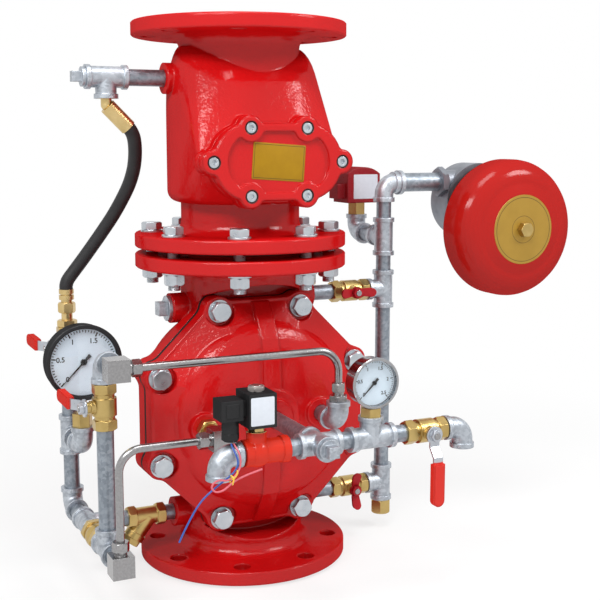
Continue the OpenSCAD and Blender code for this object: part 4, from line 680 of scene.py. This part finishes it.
# Water gong: a pressed steel bell in glossy red with a bare gilt disc, on the spindle of a die-cast
# water motor that has the supply pipe screwed into its side.
wear(["gong_bell"], finish("gong_enamel", lambda at: {
    "Base Color": at.noise(12, 2).between(rgb(0.37, 0.008, 0.006), rgb(0.42, 0.011, 0.008)),
    "Roughness": 0.10 + at.noise(300, 2) * 0.08, "Gloss": 0.017, "Round": 0.004,
    "Relief": at.noise(90, 2) * 0.00012}))
wear(["gong_motor"], finish("die_cast", lambda at: {
    "Base Color": at.noise(50, 3).between(rgb(0.17, 0.18, 0.205), rgb(0.34, 0.36, 0.40)),
    "Metallic": 0.9, "Roughness": 0.38 + at.noise(80, 3) * 0.2, "Relief": at.noise(500, 3) * 0.00006}))
gong_x, gong_z = 0.404, 0.446
disc_back, disc_front, disc_r, disc_hole_r, disc_bevel = 0.0881, 0.0886, 0.0502, 0.0051, 0.0004


def gilt(at):
    """Gilt print: gold with one thin dark ring near the rim and one round the hub."""
    far = at.distance((gong_x, -disc_front, gong_z))
    rim_line = far.band(0.0455, 0.0464, 0.0003)
    hub_line = far.band(0.0190, 0.0197, 0.0003)
    gold = at.noise(60, 3).between(rgb(0.32, 0.185, 0.022), rgb(0.40, 0.24, 0.032))
    return {"Base Color": (rim_line + hub_line).between(gold, rgb(0.10, 0.06, 0.01)),
            "Metallic": 0.2, "Roughness": 0.34 + at.noise(200, 2) * 0.12, "Gloss": 0.03}


disc_shape = lathe([(disc_r, disc_back), (disc_r - disc_bevel, disc_front),
                    (disc_hole_r, disc_front), (disc_hole_r, disc_back)])
gong_disc = skin("gong_disc", np.array([gong_x, 0, gong_z]) + disc_shape, "valve",
                 finish("gilt_print", gilt), looped=True)


# Nameplate: a bare yellow metal plate stuck a little askew in the cover's sunk panel, with a thin dark
# line round its border.
plate_lean = 4


def yellow_print(at):
    """Yellow lacquer with a thin dark frame line and a faint brushed cloud."""
    cos, sin = np.cos(np.radians(plate_lean)), np.sin(np.radians(plate_lean))
    line_x, line_z, line, soft = 0.0337, 0.0209, 0.0007, 0.0002
    x, z = at.axis("X"), at.axis("Z") - cover_z
    beside = at.maths("ABSOLUTE", x * cos - z * sin)
    above = at.maths("ABSOLUTE", z * cos + x * sin)
    uprights = beside.band(line_x - line, line_x, soft) * (1 - above.step(line_z, line_z + soft))
    levels = above.band(line_z - line, line_z, soft) * (1 - beside.step(line_x, line_x + soft))
    yellow = at.noise(80, 2).between(rgb(0.29, 0.15, 0.0015), rgb(0.37, 0.20, 0.003))
    return {"Base Color": (uprights + levels).between(yellow, rgb(0.10, 0.06, 0.01)),
            "Metallic": 0.1, "Roughness": 0.35 + at.noise(300) * 0.1, "Gloss": 0.02}


nameplate = plate("nameplate", (0.0, -0.1295, cover_z), 0.071, 0.0455, 0.0007, 0.002, "valve",
                  finish("yellow_print", yellow_print), lean=plate_lean)


# The studio: a pale paper floor that fades to white away from the valve and keeps its shadow near it,
# white surroundings, and three soft boxes: a broad one on the left, a smaller one on the right and one
# overhead.
def seen_directly(tree):
    """1 for what the camera sees, straight, mirrored or through glass, and 0 for what lights the scene."""
    path = tree.nodes.new("ShaderNodeLightPath")
    camera_ray, glossy_ray, glass_ray = (
        Tone(tree, path.outputs[f"Is {kind} Ray"]) for kind in ("Camera", "Glossy", "Transmission"))
    return camera_ray.maths("MAXIMUM", camera_ray.maths("MAXIMUM", camera_ray, glossy_ray), glass_ray)


floor_half, floor_z = 6, -0.0005
floor_mesh = bpy.data.meshes.new("floor")
floor_mesh.from_pydata([(-floor_half, -floor_half, floor_z), (floor_half, -floor_half, floor_z),
                        (floor_half, floor_half, floor_z), (-floor_half, floor_half, floor_z)],
                       [], [(0, 1, 2, 3)])
floor = bpy.data.objects.new("floor", floor_mesh)
bpy.context.scene.collection.objects.link(floor)
floor_paper = finish("floor_paper", lambda at: {
    "Base Color": at.noise(3, 2).between(rgb(0.93, 0.93, 0.93), rgb(0.95, 0.95, 0.95)),
    "Roughness": 0.9})
paper = floor_paper.node_tree
paper_at = Tone(paper, paper.nodes.new("ShaderNodeTexCoord").outputs["Object"])
near_white = 0.73
far_off = paper_at.distance((0, 0, 0)).step(0.35, 1.3)
white_share = seen_directly(paper) * (far_off * (1 - near_white) + near_white)
lit_paper = Tone(paper, paper.nodes["Principled BSDF"].outputs[0])
white_paper = paper_at.node("Emission", {}, {})
shown_paper = paper_at.node("MixShader", {}, {0: white_share, 1: lit_paper, 2: white_paper})
paper.links.new(shown_paper.socket, paper.nodes["Material Output"].inputs[0])
floor_mesh.materials.append(floor_paper)

world = bpy.data.worlds.new("white_room")
bpy.context.scene.world = world
world.use_nodes = True
room = world.node_tree
room_light = room.nodes["Background"]
room_light.inputs["Color"].default_value = rgb(1, 1, 1)
room_fill = 0.44
room_strength = seen_directly(room) * (1 - room_fill) + room_fill
room.links.new(room_strength.socket, room_light.inputs["Strength"])


def soft_box(name, place, aim, size, power):
    """Rectangular area lamp at a place, turned to face a point. The size is its width and height."""
    lamp = bpy.data.lights.new(name, "AREA")
    lamp.shape = "RECTANGLE"
    lamp.size, lamp.size_y = size
    lamp.energy = power
    made = bpy.data.objects.new(name, lamp)
    ray = unit(np.array(aim, float) - np.array(place, float))
    wide = unit(np.cross(ray, (0, 0, 1.0)))
    tall = np.cross(wide, ray)
    made.matrix_world = Matrix([*zip(wide, tall, -ray, place), (0, 0, 0, 1)])
    bpy.context.scene.collection.objects.link(made)


soft_box("left_box", (-1.15, -1.0, 1.6), (0, 0, 0.4), (1.1, 0.42), 23)
soft_box("right_box", (1.25, -1.0, 1.5), (0, 0, 0.4), (0.6, 0.40), 14)
soft_box("top_box", (0.0, -0.7, 2.3), (0, 0, 0.1), (0.9, 0.6), 16)

bpy.context.scene.view_settings.view_transform = "Standard"
